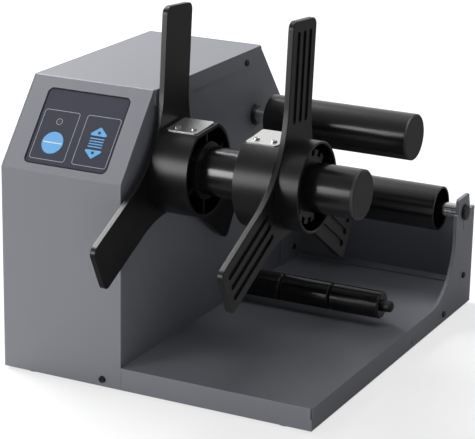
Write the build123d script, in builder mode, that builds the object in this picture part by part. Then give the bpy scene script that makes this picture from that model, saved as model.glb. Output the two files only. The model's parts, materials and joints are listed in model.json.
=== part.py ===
from build123d import *
import os
from math import acos, atan2, cos, degrees, hypot, radians, sin, tan

os.makedirs("parts", exist_ok=True)

# Motor-driven desktop label rewinder. Millimetres, +Z up, +X along the spindle to its free end.
# The origin is on the spindle axis, on the face of the inner flange that a roll's core butts on.

# ---- driving sizes: whole machine ----
spindle_height = 167.0      # spindle axis above the bench
spindle_setback = 67.5      # spindle axis behind the cabinet's front face
foot_drop = 2.0             # rubber feet below the sheet-metal skirts
base_w = 268.0
tray_h = 18.0               # skirt height of the base tray
cabinet_w = 106.0
cabinet_d = 282.5
rear_bay = 44.5             # tray behind the cabinet, with the lower roller
front_rise = 164.5          # front face, from the skirt's edge to the first bend
cabinet_rise = 227.0        # top face above the skirt's edge
slope_run = 50.0            # how far the control slope, and the rear slope, lean back
sheet = 1.5                 # covers, tray and wall
plate_t = 2.0               # mounting plate
bracket_t = 3.0
lip_t = 1.2
lip_h = 13.0
seam = 0.2                  # gap left where two painted sheets lap
bend_r = 2.0

# ---- driving sizes: spindle and flanges ----
flange_gap = 3.5            # mounting plate to the back of the inner flange
arm_t = 4.5
arm_w = 40.0
arm_reach = 124.5
arm_tip_r = 6.0
arm_root_r = 85.0
arm_turn = 4.0              # how far the whole set leans back in the photographed pose, degrees
groove_w = 5.0
groove_depth = 1.6
groove_pitch = 10.0
groove_tip_margin = 8.0
groove_root = 47.0
drum_r = 37.0               # core seat for rolls on 76 mm cores
drum_len = 31.0
drum_wall = 2.5
hub_wall = 3.2
rib_t = 2.0
rib_count = 6
rib_setback = 3.0
spindle_r = 19.05
spindle_wall = 2.0
spindle_len = 160.0
cap_t = 3.0
flange_spacing = 105.0      # inner face to the outer face of the outer flange
slide_fit = 0.1             # flange hubs on the spindle tube
flat_h = 32.85              # flat for the spring plate, from the axis
flat_lean = 3.6             # the flat leans towards the front, degrees
spring_t = 0.8
spring_w = 30.0             # round the drum
spring_len = 26.0           # along the spindle
spring_corner = 2.0
spring_lift = 2.5           # the rear half stands off the flat, degrees
spring_inset = 2.5          # inner plate behind its drum's end
spring_margin = 0.3         # outer plate behind its drum's end
screw_setback = 7.5         # plate screws behind the plate's front edge
screw_pitch = 14.4
cup_r = 35.0                # cup round the lock ring
cup_wall = 2.2
boss_len = 17.5
ring_r = 28.0
ring_len = 5.0
ring_notches = 14
ring_notch_w = 5.2
ring_notch_depth = 4.5

# ---- driving sizes: rollers ----
roller_r = 19.05
roller_wall = 1.8
axle_r = 6.35
running = 0.05              # bearing bores on fixed axles
bearing_w = 8.0
upper_from_rear = 58.0      # axle ahead of the cabinet's rear face
upper_from_top = 58.0
upper_gap = 16.0            # plate to the roller's end
upper_len = 129.0
lower_from_back = 25.0      # axle ahead of the bracket's rear edge
lower_rise = 69.3           # axle above the tray
lower_start = -2.0
lower_end = 133.0
plug_recess = 22.0
bush_r = 8.8
bush_neck_r = 7.4
bush_t = 2.6
axle_cap_r = 6.8
axle_ring_r = 9.5
axle_ring_t = 1.5

# ---- driving sizes: tension bar ----
bar_y = 119.9
bar_z = -130.1
bar_r = 4.75
sleeve_r = 11.3
sleeve_len = 44.2
sleeve_gap = 0.5
sleeve_count = 3
bar_clear = 2.0             # plate to the first sleeve
bar_tail = 9.0              # bar beyond the last sleeve
pivot_y = 104.0
pivot_z = -50.0
pivot_r = 4.0
swing = 32.0
bar_arm_t = 4.0
bar_arm_w = 16.0
slot_play = 1.5

# ---- derived places ----
bench_z = -spindle_height
skirt_z = bench_z + foot_drop
tray_z = skirt_z + tray_h
bend_z = skirt_z + front_rise
top_z = skirt_z + cabinet_rise
front_y = -spindle_setback
rear_y = front_y + cabinet_d
base_d = cabinet_d + rear_bay
back_y = front_y + base_d
plate_x = -(flange_gap + arm_t)
left_x = plate_x - cabinet_w
right_x = left_x + base_w
inner_left_x = left_x + sheet
plate_in_x = plate_x - plate_t
slope_rise = top_z - bend_z
wall_y = back_y - sheet
upper_y = rear_y - upper_from_rear
upper_z = top_z - upper_from_top
lower_y = back_y - lower_from_back
lower_z = tray_z + lower_rise
bracket_x = right_x - bracket_t

house = [
    (front_y, bend_z),
    (front_y + slope_run, top_z),
    (rear_y - slope_run, top_z),
    (rear_y, bend_z),
]


def ring_along_x(inner, outer, x_start, length, y=0.0, z=0.0):
    """A plain tube about an axis parallel to X."""
    with BuildPart(mode=Mode.PRIVATE) as tube:
        with BuildSketch(Plane.YZ.offset(x_start)):
            with Locations((y, z)):
                Circle(outer)
                if inner > 0:
                    Circle(inner, mode=Mode.SUBTRACT)
        extrude(amount=length)
    return tube.part


# =====================================================================================
# Base tray: one folded sheet, open below, with return lips for the feet
# =====================================================================================
bracket_len = 94.0
bracket_front_y = back_y - bracket_len
corner_relief = 1.2
corner_relief_h = 9.0
foot_lip = 16.0
foot_inset_x = 22.0
foot_r = 8.0
foot_stem_r = 2.4
foot_stem_play = 0.1
screw_r = 1.5
screw_play = 0.2
apron_screws = [(plate_x - 16.4, skirt_z + 5.9)]
bracket_screw_rise = 11.2    # upper screw above the tray
bracket_screw_inset = 20.0
skirt_screw_rise = 7.1      # lower screw above the skirt's edge
skirt_screw_inset = 63.2
bracket_screws = [
    (back_y - bracket_screw_inset, tray_z + bracket_screw_rise),
    (back_y - skirt_screw_inset, skirt_z + skirt_screw_rise),
]
skirt_slot_y = bracket_front_y - 40.0
skirt_slot_z = skirt_z + 5.0
skirt_slot_w = 5.0
skirt_slot_h = 1.6

with BuildPart() as base_tray:
    with BuildSketch(Plane.XY.offset(skirt_z)):
        with BuildLine():
            Polyline(
                (inner_left_x + seam, front_y + sheet + seam),
                (plate_x + seam, front_y + sheet + seam),
                (plate_x + seam, front_y),
                (right_x, front_y),
                (right_x, bracket_front_y),
                (bracket_x, bracket_front_y),
                (bracket_x, wall_y),
                (plate_x, wall_y),
                (plate_x, back_y),
                (inner_left_x + seam, back_y),
                close=True,
            )
        make_face()
    extrude(amount=tray_h)
    offset(amount=-sheet, openings=base_tray.faces().sort_by(Axis.Z)[0], kind=Kind.INTERSECTION)
    # return lips along the front and the rear skirt
    with BuildSketch(Plane.XY.offset(skirt_z)):
        for lip_y in (front_y + sheet + seam + foot_lip / 2, wall_y - foot_lip / 2):
            with Locations(((inner_left_x + bracket_x) / 2, lip_y)):
                Rectangle(bracket_x - inner_left_x - 2 * seam, foot_lip)
    extrude(amount=sheet)
    # bend relief at the front right corner and the small slot in the right skirt
    with Locations((right_x, front_y, tray_z - corner_relief_h / 2)):
        Box(2 * corner_relief, 2 * corner_relief, corner_relief_h, mode=Mode.SUBTRACT)
    with Locations((right_x, skirt_slot_y, skirt_slot_z)):
        Box(4 * sheet, skirt_slot_w, skirt_slot_h, rotation=(-40, 0, 0), mode=Mode.SUBTRACT)
    # foot holes
    foot_spots = []
    for foot_x in (inner_left_x + foot_inset_x, bracket_x - foot_inset_x):
        for foot_y in (front_y + sheet + seam + foot_lip / 2 + 1, wall_y - foot_lip / 2 - 1):
            foot_spots.append((foot_x, foot_y))
    with BuildSketch(Plane.XY.offset(skirt_z)):
        with Locations(*foot_spots):
            Circle(foot_stem_r + foot_stem_play)
    extrude(amount=sheet, mode=Mode.SUBTRACT)
    # screw holes for the cover's front edge and the right bracket
    with BuildSketch(Plane.XZ.offset(-front_y)):
        with Locations(*apron_screws):
            Circle(screw_r)
    extrude(amount=-(2 * sheet + 1), mode=Mode.SUBTRACT)
    with BuildSketch(Plane.YZ.offset(right_x)):
        with Locations(bracket_screws[1]):
            Circle(screw_r)
    extrude(amount=-(bracket_t + 2 * sheet), mode=Mode.SUBTRACT)
base_tray.part.label = "base_tray"
export_step(base_tray.part, "parts/base_tray.step")

with BuildPart() as rubber_feet:
    with BuildSketch(Plane.XY.offset(bench_z)):
        with Locations(*foot_spots):
            Circle(foot_r)
    extrude(amount=foot_drop)
    chamfer(rubber_feet.edges().group_by(Axis.Z)[0], 0.6)
    with BuildSketch(Plane.XY.offset(skirt_z)):
        with Locations(*foot_spots):
            Circle(foot_stem_r)
    extrude(amount=sheet)
    with BuildSketch(Plane.XY.offset(skirt_z + sheet)):
        with Locations(*foot_spots):
            Circle(foot_stem_r + 1.6)
    extrude(amount=2.5, taper=18)
rubber_feet.part.label = "rubber_feet"
export_step(rubber_feet.part, "parts/rubber_feet.step")

# =====================================================================================
# Cabinet: mounting plate, wrap-round cover, side panel and rear panel
# =====================================================================================
housing_nose_r = 15.0
housing_hole_r = housing_nose_r + 0.2
bush_hole_r = bush_neck_r + 0.1
plate_flange = 14.0
arm_len = hypot(bar_y - pivot_y, bar_z - pivot_z)
arm_angle = degrees(atan2(bar_z - pivot_z, bar_y - pivot_y))
slot_r = bar_r + slot_play
lip_screw_drop = 9.7
lip_screws = [
    (rear_y - slope_run - 28.5, top_z - lip_screw_drop),
    (front_y + slope_run + 21.5, top_z - lip_screw_drop),
]

with BuildPart() as mounting_plate:
    with BuildSketch(Plane.YZ.offset(plate_in_x)):
        with BuildLine():
            Polyline((front_y, tray_z - 20), *house, (rear_y, tray_z - 20), close=True)
        make_face()
        offset(amount=-(sheet + 0.1), kind=Kind.INTERSECTION)
        with Locations((0, tray_z - 25)):
            Rectangle(2 * base_d, 50, mode=Mode.SUBTRACT)
        # relief notch at the lower front corner
        with Locations((front_y + sheet, tray_z)):
            Rectangle(5, 5, mode=Mode.SUBTRACT)
        Circle(housing_hole_r, mode=Mode.SUBTRACT)
        with Locations((upper_y, upper_z)):
            Circle(bush_hole_r, mode=Mode.SUBTRACT)
        # curved slot that the tension bar swings along
        with BuildLine():
            CenterArc((pivot_y, pivot_z), arm_len + slot_r, arm_angle, swing)
            CenterArc((pivot_y, pivot_z), arm_len - slot_r, arm_angle, swing)
            for end_angle, first in ((arm_angle, arm_angle - 180), (arm_angle + swing, arm_angle + swing)):
                end_at = (
                    pivot_y + arm_len * cos(radians(end_angle)),
                    pivot_z + arm_len * sin(radians(end_angle)),
                )
                CenterArc(end_at, slot_r, first, 180)
        make_face(mode=Mode.SUBTRACT)
        with Locations(*lip_screws):
            Circle(screw_r, mode=Mode.SUBTRACT)
    extrude(amount=plate_t)
    # foot flange folded into the cabinet
    with BuildSketch(Plane.XY.offset(tray_z)):
        with Locations((plate_in_x - plate_flange / 2, (front_y + rear_y) / 2)):
            Rectangle(plate_flange, cabinet_d - 40)
    extrude(amount=plate_t)
mounting_plate.part.label = "mounting_plate"
export_step(mounting_plate.part, "parts/mounting_plate.step")

# control panel opening, in the plane of the slope
panel_plane = Plane(
    origin=(left_x, front_y, bend_z),
    x_dir=(1, 0, 0),
    z_dir=(0, -slope_rise, slope_run),
)
panel_x = 53.9
panel_s = 38.4
panel_w = 72.6
panel_h = 63.9
panel_corner = 4.5
panel_play = 0.4
carrier_t = 1.5
carrier_lap = 5.0
overlay_sink = 0.4
key_x = 36.6
key_s = 25.2
key_r = 9.2
arrow_x = 73.3
arrow_span = 17.4
arrow_rise = 7.5
arrow_low_s = 20.8
arrow_high_s = 40.0
key_play = 0.25
key_proud = 0.1
key_t = 0.6
key_travel = 0.5
stem_r = 1.8
stem_play = 0.1
collar_r = 2.8
lamp_x = 36.2
lamp_s = 43.1
lamp_r = 2.0
board_drop = 4.0
board_t = 1.6
board_w = 66.0
board_h = 56.0
post_r = 2.5

overlay_t = sheet - overlay_sink
carrier_w = -(sheet + carrier_t)
board_top = carrier_w - board_drop


def arrow_pads(grow):
    """The two arrow keys: triangles pointing up and down the slope, corners rounded."""
    half = arrow_span / 2 + grow
    rise = arrow_rise + grow
    for mid_s, way in ((arrow_high_s, 1), (arrow_low_s, -1)):
        with BuildSketch(mode=Mode.PRIVATE) as pad:
            with BuildLine():
                Polyline(
                    (arrow_x - half, mid_s - way * rise / 2),
                    (arrow_x + half, mid_s - way * rise / 2),
                    (arrow_x, mid_s + way * rise / 2),
                    close=True,
                )
            make_face()
            fillet(pad.vertices(), 1.0)
        yield pad.sketch


def cabinet_wall(x_start, x_end, y_low, y_high, z_low):
    """The folded sheet of the cabinet between two stations, square across."""
    with BuildPart(mode=Mode.PRIVATE) as wall:
        with BuildSketch(Plane.YZ.offset(x_start)) as section:
            with BuildLine():
                Polyline((front_y, z_low), *house, (rear_y, z_low), close=True)
            make_face()
            fillet([v for v in section.vertices() if v.Y > bend_z - 1], bend_r)
            with BuildSketch(mode=Mode.PRIVATE) as inside:
                with BuildLine():
                    Polyline((front_y, z_low - 20), *house, (rear_y, z_low - 20), close=True)
                make_face()
                offset(amount=-sheet, kind=Kind.INTERSECTION)
            add(inside.sketch, mode=Mode.SUBTRACT)
            with Locations(((y_low + y_high) / 2, 0)):
                Rectangle(y_high - y_low, 4 * base_d, mode=Mode.INTERSECT)
        extrude(amount=x_end - x_start)
    return wall.part


lip_front_y = front_y + slope_run + 1
lip_rear_y = rear_y - slope_run - 1
cover_split_y = rear_y - slope_run - 2.0

with BuildPart() as cabinet_cover:
    add(cabinet_wall(inner_left_x, plate_x, front_y - 5, cover_split_y, skirt_z))
    # the top runs on over the mounting plate and is folded down outside it
    with BuildSketch(Plane.YZ.offset(plate_x)):
        with Locations(((lip_front_y + lip_rear_y) / 2, top_z - lip_h / 2)):
            RectangleRounded(lip_rear_y - lip_front_y, lip_h, 2)
    extrude(amount=lip_t)
    # window for the control panel
    with BuildSketch(panel_plane.offset(-2 * sheet)):
        with Locations((panel_x, panel_s)):
            RectangleRounded(panel_w + 2 * panel_play, panel_h + 2 * panel_play, panel_corner + panel_play)
    extrude(amount=4 * sheet, mode=Mode.SUBTRACT)
    with BuildSketch(Plane.YZ.offset(plate_x)):
        with Locations(*lip_screws):
            Circle(screw_r + screw_play)
    extrude(amount=lip_t, mode=Mode.SUBTRACT)
    with BuildSketch(Plane.XZ.offset(-front_y)):
        with Locations(*apron_screws):
            Circle(screw_r + screw_play)
    extrude(amount=-sheet, mode=Mode.SUBTRACT)
cabinet_cover.part.label = "cabinet_cover"
export_step(cabinet_cover.part, "parts/cabinet_cover.step")

with BuildPart() as left_side_panel:
    with BuildSketch(Plane.YZ.offset(left_x)) as side_outline:
        with BuildLine():
            Polyline((front_y, skirt_z), *house, (rear_y, skirt_z), close=True)
        make_face()
        fillet([v for v in side_outline.vertices() if v.Y > bend_z - 1], bend_r)
    extrude(amount=sheet)
    # fold that carries the panel on the tray
    with BuildSketch(Plane.XY.offset(tray_z)):
        with Locations((inner_left_x + plate_flange / 2, (front_y + rear_y) / 2)):
            Rectangle(plate_flange, cabinet_d - 40)
    extrude(amount=sheet)
left_side_panel.part.label = "left_side_panel"
export_step(left_side_panel.part, "parts/left_side_panel.step")

# ---- rear panel with the power inlet and the switch ----
rear_gap = 0.8
tongue = 10.0
inlet_from_left = 32.0
switch_from_inlet = 42.0
rear_hole_rise = 32.0
inlet_x = left_x + inlet_from_left
switch_x = inlet_x + switch_from_inlet
rear_hole_z = tray_z + rear_hole_rise
inlet_r = 5.5
switch_half_w = 7.0
switch_half_h = 11.5
bezel_t = 1.8
bezel_lap = 1.5
rear_screws = [(left_x + 10, tray_z + 8), (plate_x - 22, tray_z + 8)]

with BuildPart() as rear_panel:
    add(cabinet_wall(inner_left_x, plate_x - rear_gap, cover_split_y, rear_y + 5, tray_z))
    # tongue under the cover and fold on the tray
    with Locations((
        (inner_left_x + plate_in_x - 0.3) / 2,
        cover_split_y - tongue / 2 + 0.7,
        top_z - 1.5 * sheet,
    )):
        Box(plate_in_x - inner_left_x - 0.7, tongue + 1.4, sheet)
    with BuildSketch(Plane.XY.offset(tray_z)):
        with Locations(((inner_left_x + plate_in_x) / 2, rear_y - sheet - 6)):
            Rectangle(plate_in_x - inner_left_x - 2 * (plate_flange + 0.5), 12)
    extrude(amount=sheet)
    with BuildSketch(Plane.XZ.offset(-rear_y)):
        with Locations((inlet_x, rear_hole_z)):
            Circle(inlet_r)
        with Locations((switch_x, rear_hole_z)):
            Rectangle(2 * switch_half_w, 2 * switch_half_h)
        with Locations(*rear_screws):
            Circle(screw_r)
    extrude(amount=2 * sheet, both=True, mode=Mode.SUBTRACT)
rear_panel.part.label = "rear_panel"
export_step(rear_panel.part, "parts/rear_panel.step")

head_r = 2.75
head_t = 1.6
shank_len = 5.0


def pan_screws(plane, spots, shank_r, depth, recess=True):
    """Pan-head screws whose heads stand on a plane, shanks going the other way."""
    with BuildPart(mode=Mode.PRIVATE) as screws:
        with BuildSketch(plane):
            with Locations(*spots):
                Circle(head_r)
        extrude(amount=head_t, taper=12)
        with BuildSketch(plane):
            with Locations(*spots):
                Circle(shank_r)
        extrude(amount=-depth)
        if recess:
            with BuildSketch(plane.offset(head_t)):
                with Locations(*spots):
                    Rectangle(head_r * 1.1, 0.6)
                    Rectangle(0.6, head_r * 1.1)
            extrude(amount=-0.7, mode=Mode.SUBTRACT)
    return screws.part


# =====================================================================================
# Control panel: carrier, overlay, keys, lamp and board
# =====================================================================================
stem_spots = [(key_x, key_s), (arrow_x, arrow_high_s), (arrow_x, arrow_low_s)]
post_spots = [
    (panel_x + side * (board_w / 2 - 5), panel_s + end * (board_h / 2 - 5))
    for side in (-1, 1) for end in (-1, 1)
]

with BuildPart() as panel_carrier:
    with BuildSketch(panel_plane.offset(-sheet)):
        with Locations((panel_x, panel_s)):
            RectangleRounded(panel_w + 2 * carrier_lap, panel_h + 2 * carrier_lap, panel_corner)
    extrude(amount=-carrier_t)
    with BuildSketch(panel_plane.offset(-sheet)):
        with Locations(*stem_spots):
            Circle(stem_r + stem_play)
        with Locations((lamp_x, lamp_s)):
            Circle(lamp_r)
    extrude(amount=-carrier_t, mode=Mode.SUBTRACT)
    # threaded posts for the board
    with BuildSketch(panel_plane.offset(carrier_w)):
        with Locations(*post_spots):
            Circle(post_r)
    extrude(amount=-board_drop)
panel_carrier.part.label = "panel_carrier"
export_step(panel_carrier.part, "parts/panel_carrier.step")

with BuildPart() as panel_overlay:
    with BuildSketch(panel_plane.offset(-sheet)):
        with Locations((panel_x, panel_s)):
            RectangleRounded(panel_w, panel_h, panel_corner)
        with Locations((key_x, key_s)):
            Circle(key_r + key_play, mode=Mode.SUBTRACT)
        with Locations((lamp_x, lamp_s)):
            Circle(lamp_r, mode=Mode.SUBTRACT)
        for pad in arrow_pads(key_play):
            add(pad, mode=Mode.SUBTRACT)
    extrude(amount=overlay_t)
panel_overlay.part.label = "panel_overlay"
export_step(panel_overlay.part, "parts/panel_overlay.step")

key_top = -overlay_sink + key_proud
key_under = key_top - key_t
switch_can = 1.2
switch_button = 0.4
stem_low = board_top + switch_can + switch_button + key_travel + 0.1
collar_gap = 0.3


def key_stem(spot):
    """Stem below a key, with a collar that keeps it in the carrier."""
    with BuildPart(mode=Mode.PRIVATE) as stem:
        with BuildSketch(panel_plane.offset(key_under)):
            with Locations(spot):
                Circle(stem_r)
        extrude(amount=-(key_under - stem_low))
        with BuildSketch(panel_plane.offset(stem_low)):
            with Locations(spot):
                Circle(collar_r)
        extrude(amount=carrier_w - collar_gap - stem_low)
    return stem.part


with BuildPart() as start_stop_key:
    with BuildSketch(panel_plane.offset(key_under)):
        with Locations((key_x, key_s)):
            Circle(key_r)
    extrude(amount=key_t)
    add(key_stem((key_x, key_s)))
start_stop_key.part.label = "start_stop_key"
export_step(start_stop_key.part, "parts/start_stop_key.step")

arrow_outlines = list(arrow_pads(0))

with BuildPart() as up_arrow_key:
    with BuildSketch(panel_plane.offset(key_under)):
        add(arrow_outlines[0])
    extrude(amount=key_t)
    add(key_stem((arrow_x, arrow_high_s)))
up_arrow_key.part.label = "up_arrow_key"
export_step(up_arrow_key.part, "parts/up_arrow_key.step")

with BuildPart() as down_arrow_key:
    with BuildSketch(panel_plane.offset(key_under)):
        add(arrow_outlines[1])
    extrude(amount=key_t)
    add(key_stem((arrow_x, arrow_low_s)))
down_arrow_key.part.label = "down_arrow_key"
export_step(down_arrow_key.part, "parts/down_arrow_key.step")

with BuildPart() as panel_board:
    with BuildSketch(panel_plane.offset(board_top)):
        with Locations((panel_x, panel_s)):
            Rectangle(board_w, board_h)
    extrude(amount=-board_t)
    with BuildSketch(panel_plane.offset(board_top)):
        with Locations(*post_spots):
            Circle(screw_r)
    extrude(amount=-board_t, mode=Mode.SUBTRACT)
    # key switches soldered to the board
    with BuildSketch(panel_plane.offset(board_top)):
        with Locations(*stem_spots):
            Rectangle(6, 6)
    extrude(amount=switch_can)
    with BuildSketch(panel_plane.offset(board_top + switch_can)):
        with Locations(*stem_spots):
            Circle(1.6)
    extrude(amount=switch_button)
panel_board.part.label = "panel_board"
export_step(panel_board.part, "parts/panel_board.step")

with BuildPart() as status_lamp:
    with BuildSketch(panel_plane.offset(board_top)):
        with Locations((lamp_x, lamp_s)):
            Circle(lamp_r)
    extrude(amount=-overlay_sink - board_top)
status_lamp.part.label = "status_lamp"
export_step(status_lamp.part, "parts/status_lamp.step")

# =====================================================================================
# Rear panel fittings and the electronics in the cabinet
# =====================================================================================
rear_plane = Plane(origin=(0, rear_y, 0), x_dir=(-1, 0, 0), z_dir=(0, 1, 0))
jack_bore = 3.2
jack_pin_r = 1.0
jack_depth = 9.0
jack_body = 13.0

with BuildPart() as power_inlet:
    with BuildSketch(rear_plane):
        with Locations((-inlet_x, rear_hole_z)):
            Circle(inlet_r + 2)
    extrude(amount=bezel_t)
    chamfer(power_inlet.edges().group_by(Axis.Y)[-1], 0.5)
    with BuildSketch(rear_plane):
        with Locations((-inlet_x, rear_hole_z)):
            Circle(inlet_r)
    extrude(amount=-jack_body)
    with BuildSketch(rear_plane.offset(bezel_t)):
        with Locations((-inlet_x, rear_hole_z)):
            Circle(jack_bore)
            Circle(jack_pin_r, mode=Mode.SUBTRACT)
    extrude(amount=-jack_depth, mode=Mode.SUBTRACT)
power_inlet.part.label = "power_inlet"
export_step(power_inlet.part, "parts/power_inlet.step")

rocker_half_w = 4.7
rocker_half_h = 8.0
rocker_crest = 4.2
rocker_dip = 3.2
rocker_keel = 4.0
rocker_tilt = 8.0
rocker_pivot_sink = 1.0
rocker_pin_r = 1.2
rocker_side_play = 0.3
cavity_half_h = hypot(rocker_half_h, rocker_crest) + 0.3
pivot_at_y = rear_y - rocker_pivot_sink

with BuildPart() as switch_body:
    with BuildSketch(rear_plane):
        with Locations((-switch_x, rear_hole_z)):
            RectangleRounded(2 * (switch_half_w + bezel_lap), 2 * (switch_half_h + bezel_lap), 1.5)
    extrude(amount=bezel_t)
    with BuildSketch(rear_plane):
        with Locations((-switch_x, rear_hole_z)):
            Rectangle(2 * switch_half_w, 2 * switch_half_h)
    extrude(amount=-16)
    with BuildSketch(rear_plane.offset(bezel_t)):
        with Locations((-switch_x, rear_hole_z)):
            Rectangle(2 * (rocker_half_w + rocker_side_play), 2 * cavity_half_h)
    extrude(amount=-11, mode=Mode.SUBTRACT)
    with BuildSketch(Plane.YZ.offset(switch_x)):
        with Locations((pivot_at_y, rear_hole_z)):
            Circle(rocker_pin_r + running)
    extrude(amount=rocker_half_w + rocker_side_play + 0.9, both=True, mode=Mode.SUBTRACT)
switch_body.part.label = "switch_body"
export_step(switch_body.part, "parts/switch_body.step")

with BuildPart() as switch_rocker:
    with BuildSketch(Plane.YZ.offset(switch_x)):
        with Locations(Location((pivot_at_y, rear_hole_z, 0), -rocker_tilt)):
            with BuildSketch(mode=Mode.PRIVATE) as rocker_side:
                with BuildLine():
                    Polyline(
                        (rocker_crest, rocker_half_h),
                        (rocker_dip, 0),
                        (rocker_crest, -rocker_half_h),
                        (0, -rocker_half_h + 0.6),
                        (-rocker_keel, -3),
                        (-rocker_keel, 3),
                        (0, rocker_half_h - 0.6),
                        close=True,
                    )
                make_face()
            add(rocker_side.sketch)
    extrude(amount=rocker_half_w, both=True)
    with BuildSketch(Plane.YZ.offset(switch_x)):
        with Locations((pivot_at_y, rear_hole_z)):
            Circle(rocker_pin_r)
    extrude(amount=rocker_half_w + rocker_side_play + 0.7, both=True)
switch_rocker.part.label = "switch_rocker"
export_step(switch_rocker.part, "parts/switch_rocker.step")

control_d = 76.0
control_left_gap = 8.5      # board to the side panel's fold
control_right_gap = 2.0     # board to the mounting plate's fold
control_front_gap = 20.0
control_w = plate_in_x - inner_left_x - 2 * plate_flange - control_left_gap - control_right_gap
control_x = plate_in_x - plate_flange - control_right_gap - control_w / 2
control_y = front_y + control_front_gap + control_d / 2
control_lift = 6.0
control_z = tray_z + control_lift
control_posts = [
    (control_x + side * (control_w / 2 - 4), control_y + end * (control_d / 2 - 4))
    for side in (-1, 1) for end in (-1, 1)
]

with BuildPart() as board_posts:
    with BuildSketch(Plane.XY.offset(tray_z)):
        with Locations(*control_posts):
            RegularPolygon(3, 6)
    extrude(amount=control_lift)
board_posts.part.label = "board_posts"
export_step(board_posts.part, "parts/board_posts.step")

with BuildPart() as control_board:
    with Locations((control_x, control_y, control_z + board_t / 2)):
        Box(control_w, control_d, board_t)
control_board.part.label = "control_board"
export_step(control_board.part, "parts/control_board.step")

component_top = control_z + board_t
sink_w = 22.0
sink_d = 26.0
sink_base = 3.0
fin_t = 1.2
fin_h = 11.0
fin_count = 6
can_cap_r = 6.0
can_cap_h = 16.0
chip_w = 14.0
chip_h = 2.0
terminal_w = 30.0
terminal_d = 8.0
terminal_h = 10.0
with BuildPart() as board_components:
    # heat sink with fins, two capacitors, the driver chip and the wire terminals
    with BuildSketch(Plane.XY.offset(component_top)):
        with Locations((control_x - control_w / 4, control_y + control_d / 5)):
            Rectangle(sink_w, sink_d)
    extrude(amount=sink_base)
    with BuildSketch(Plane.XY.offset(component_top + sink_base)):
        with Locations((control_x - control_w / 4, control_y + control_d / 5)):
            with GridLocations((sink_w - fin_t) / (fin_count - 1), 0, fin_count, 1):
                Rectangle(fin_t, sink_d)
    extrude(amount=fin_h)
    with BuildSketch(Plane.XY.offset(component_top)):
        with Locations((control_x + control_w / 4, control_y + control_d / 6)):
            with GridLocations(0, 2 * can_cap_r + 4 * fin_t, 1, 2):
                Circle(can_cap_r)
    extrude(amount=can_cap_h)
    with BuildSketch(Plane.XY.offset(component_top)):
        with Locations((control_x - control_w / 5, control_y - control_d / 5)):
            Rectangle(chip_w, chip_w)
    extrude(amount=chip_h)
    with BuildSketch(Plane.XY.offset(component_top)):
        with Locations((control_x + control_w / 5, control_y - control_d / 2 + terminal_d)):
            Rectangle(terminal_w, terminal_d)
    extrude(amount=terminal_h)
board_components.part.label = "board_components"
export_step(board_components.part, "parts/board_components.step")

# =====================================================================================
# Drive: bearing housing, bearings, pulleys, belt and gear motor
# =====================================================================================
journal_r = 7.5
bearing_out_r = 14.0
housing_r = 19.0
housing_flange_r = 27.0
housing_flange_t = 5.0
housing_len = 24.0
bearing_step = 1.5
housing_screw_circle = 23.0
pulley_w = 10.0
pulley_gap = 0.3
pulley_hub = 1.7
spindle_pulley_r = 22.0
motor_pulley_r = 11.0
pulley_rim = 2.0
pulley_rim_t = 1.0
belt_t = 1.5
belt_seat = 0.05
belt_side = 0.3
motor_rise = 62.0           # motor shaft above the tray
motor_setback = 70.0        # motor shaft behind the spindle axis
motor_y = motor_setback
motor_z = tray_z + motor_rise
gearbox_r = 18.5
gearbox_len = 22.0
can_r = 17.5
motor_boss_r = 5.0
motor_tail = 2.0            # rear bearing boss of the motor
motor_end_gap = 3.5         # boss to the left side panel
motor_shaft_r = 3.0
motor_gap = 4.0
motor_bracket_t = 3.0
motor_bracket_half = 25.0
motor_foot = 28.0
motor_screw_circle = 15.5

housing_back_x = plate_in_x - housing_len
pulley_right_x = housing_back_x - pulley_gap - pulley_hub
pulley_left_x = pulley_right_x - pulley_w
bracket_right_x = pulley_left_x - motor_gap
motor_face_x = bracket_right_x - motor_bracket_t
motor_end_x = inner_left_x + motor_end_gap
can_len = motor_face_x - gearbox_len - motor_tail - motor_end_x

with BuildPart() as bearing_housing:
    with BuildSketch(Plane.YZ.offset(plate_in_x)):
        Circle(housing_flange_r)
    extrude(amount=-housing_flange_t)
    with BuildSketch(Plane.YZ.offset(plate_in_x)):
        Circle(housing_r)
    extrude(amount=-housing_len)
    with BuildSketch(Plane.YZ.offset(plate_in_x)):
        Circle(bearing_out_r - bearing_step)
    extrude(amount=-housing_len, mode=Mode.SUBTRACT)
    with BuildSketch(Plane.YZ.offset(plate_in_x)):
        Circle(bearing_out_r)
    extrude(amount=-bearing_w, mode=Mode.SUBTRACT)
    with BuildSketch(Plane.YZ.offset(housing_back_x)):
        Circle(bearing_out_r)
    extrude(amount=bearing_w, mode=Mode.SUBTRACT)
    with BuildSketch(Plane.YZ.offset(plate_in_x)):
        with PolarLocations(housing_screw_circle, 3):
            Circle(screw_r)
    extrude(amount=-housing_flange_t, mode=Mode.SUBTRACT)
bearing_housing.part.label = "bearing_housing"
export_step(bearing_housing.part, "parts/bearing_housing.step")

housing_spots = [
    (housing_screw_circle * cos(radians(turn)), housing_screw_circle * sin(radians(turn)))
    for turn in (0, 120, 240)
]


def facing_left(x_at):
    """Work plane square to X that looks towards -X; sketch x runs along -Y."""
    return Plane(origin=(x_at, 0, 0), x_dir=(0, -1, 0), z_dir=(-1, 0, 0))


def ball_bearing(x_start, bore, outer, y=0.0, z=0.0):
    """A shielded bearing: two races and a shield groove between them."""
    ring = ring_along_x(bore, outer, x_start, bearing_w, y, z)
    groove_in = bore + (outer - bore) * 0.3
    groove_out = bore + (outer - bore) * 0.7
    front = ring_along_x(groove_in, groove_out, x_start - 1, 1.5, y, z)
    back = ring_along_x(groove_in, groove_out, x_start + bearing_w - 0.5, 1.5, y, z)
    return ring - front - back


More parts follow.
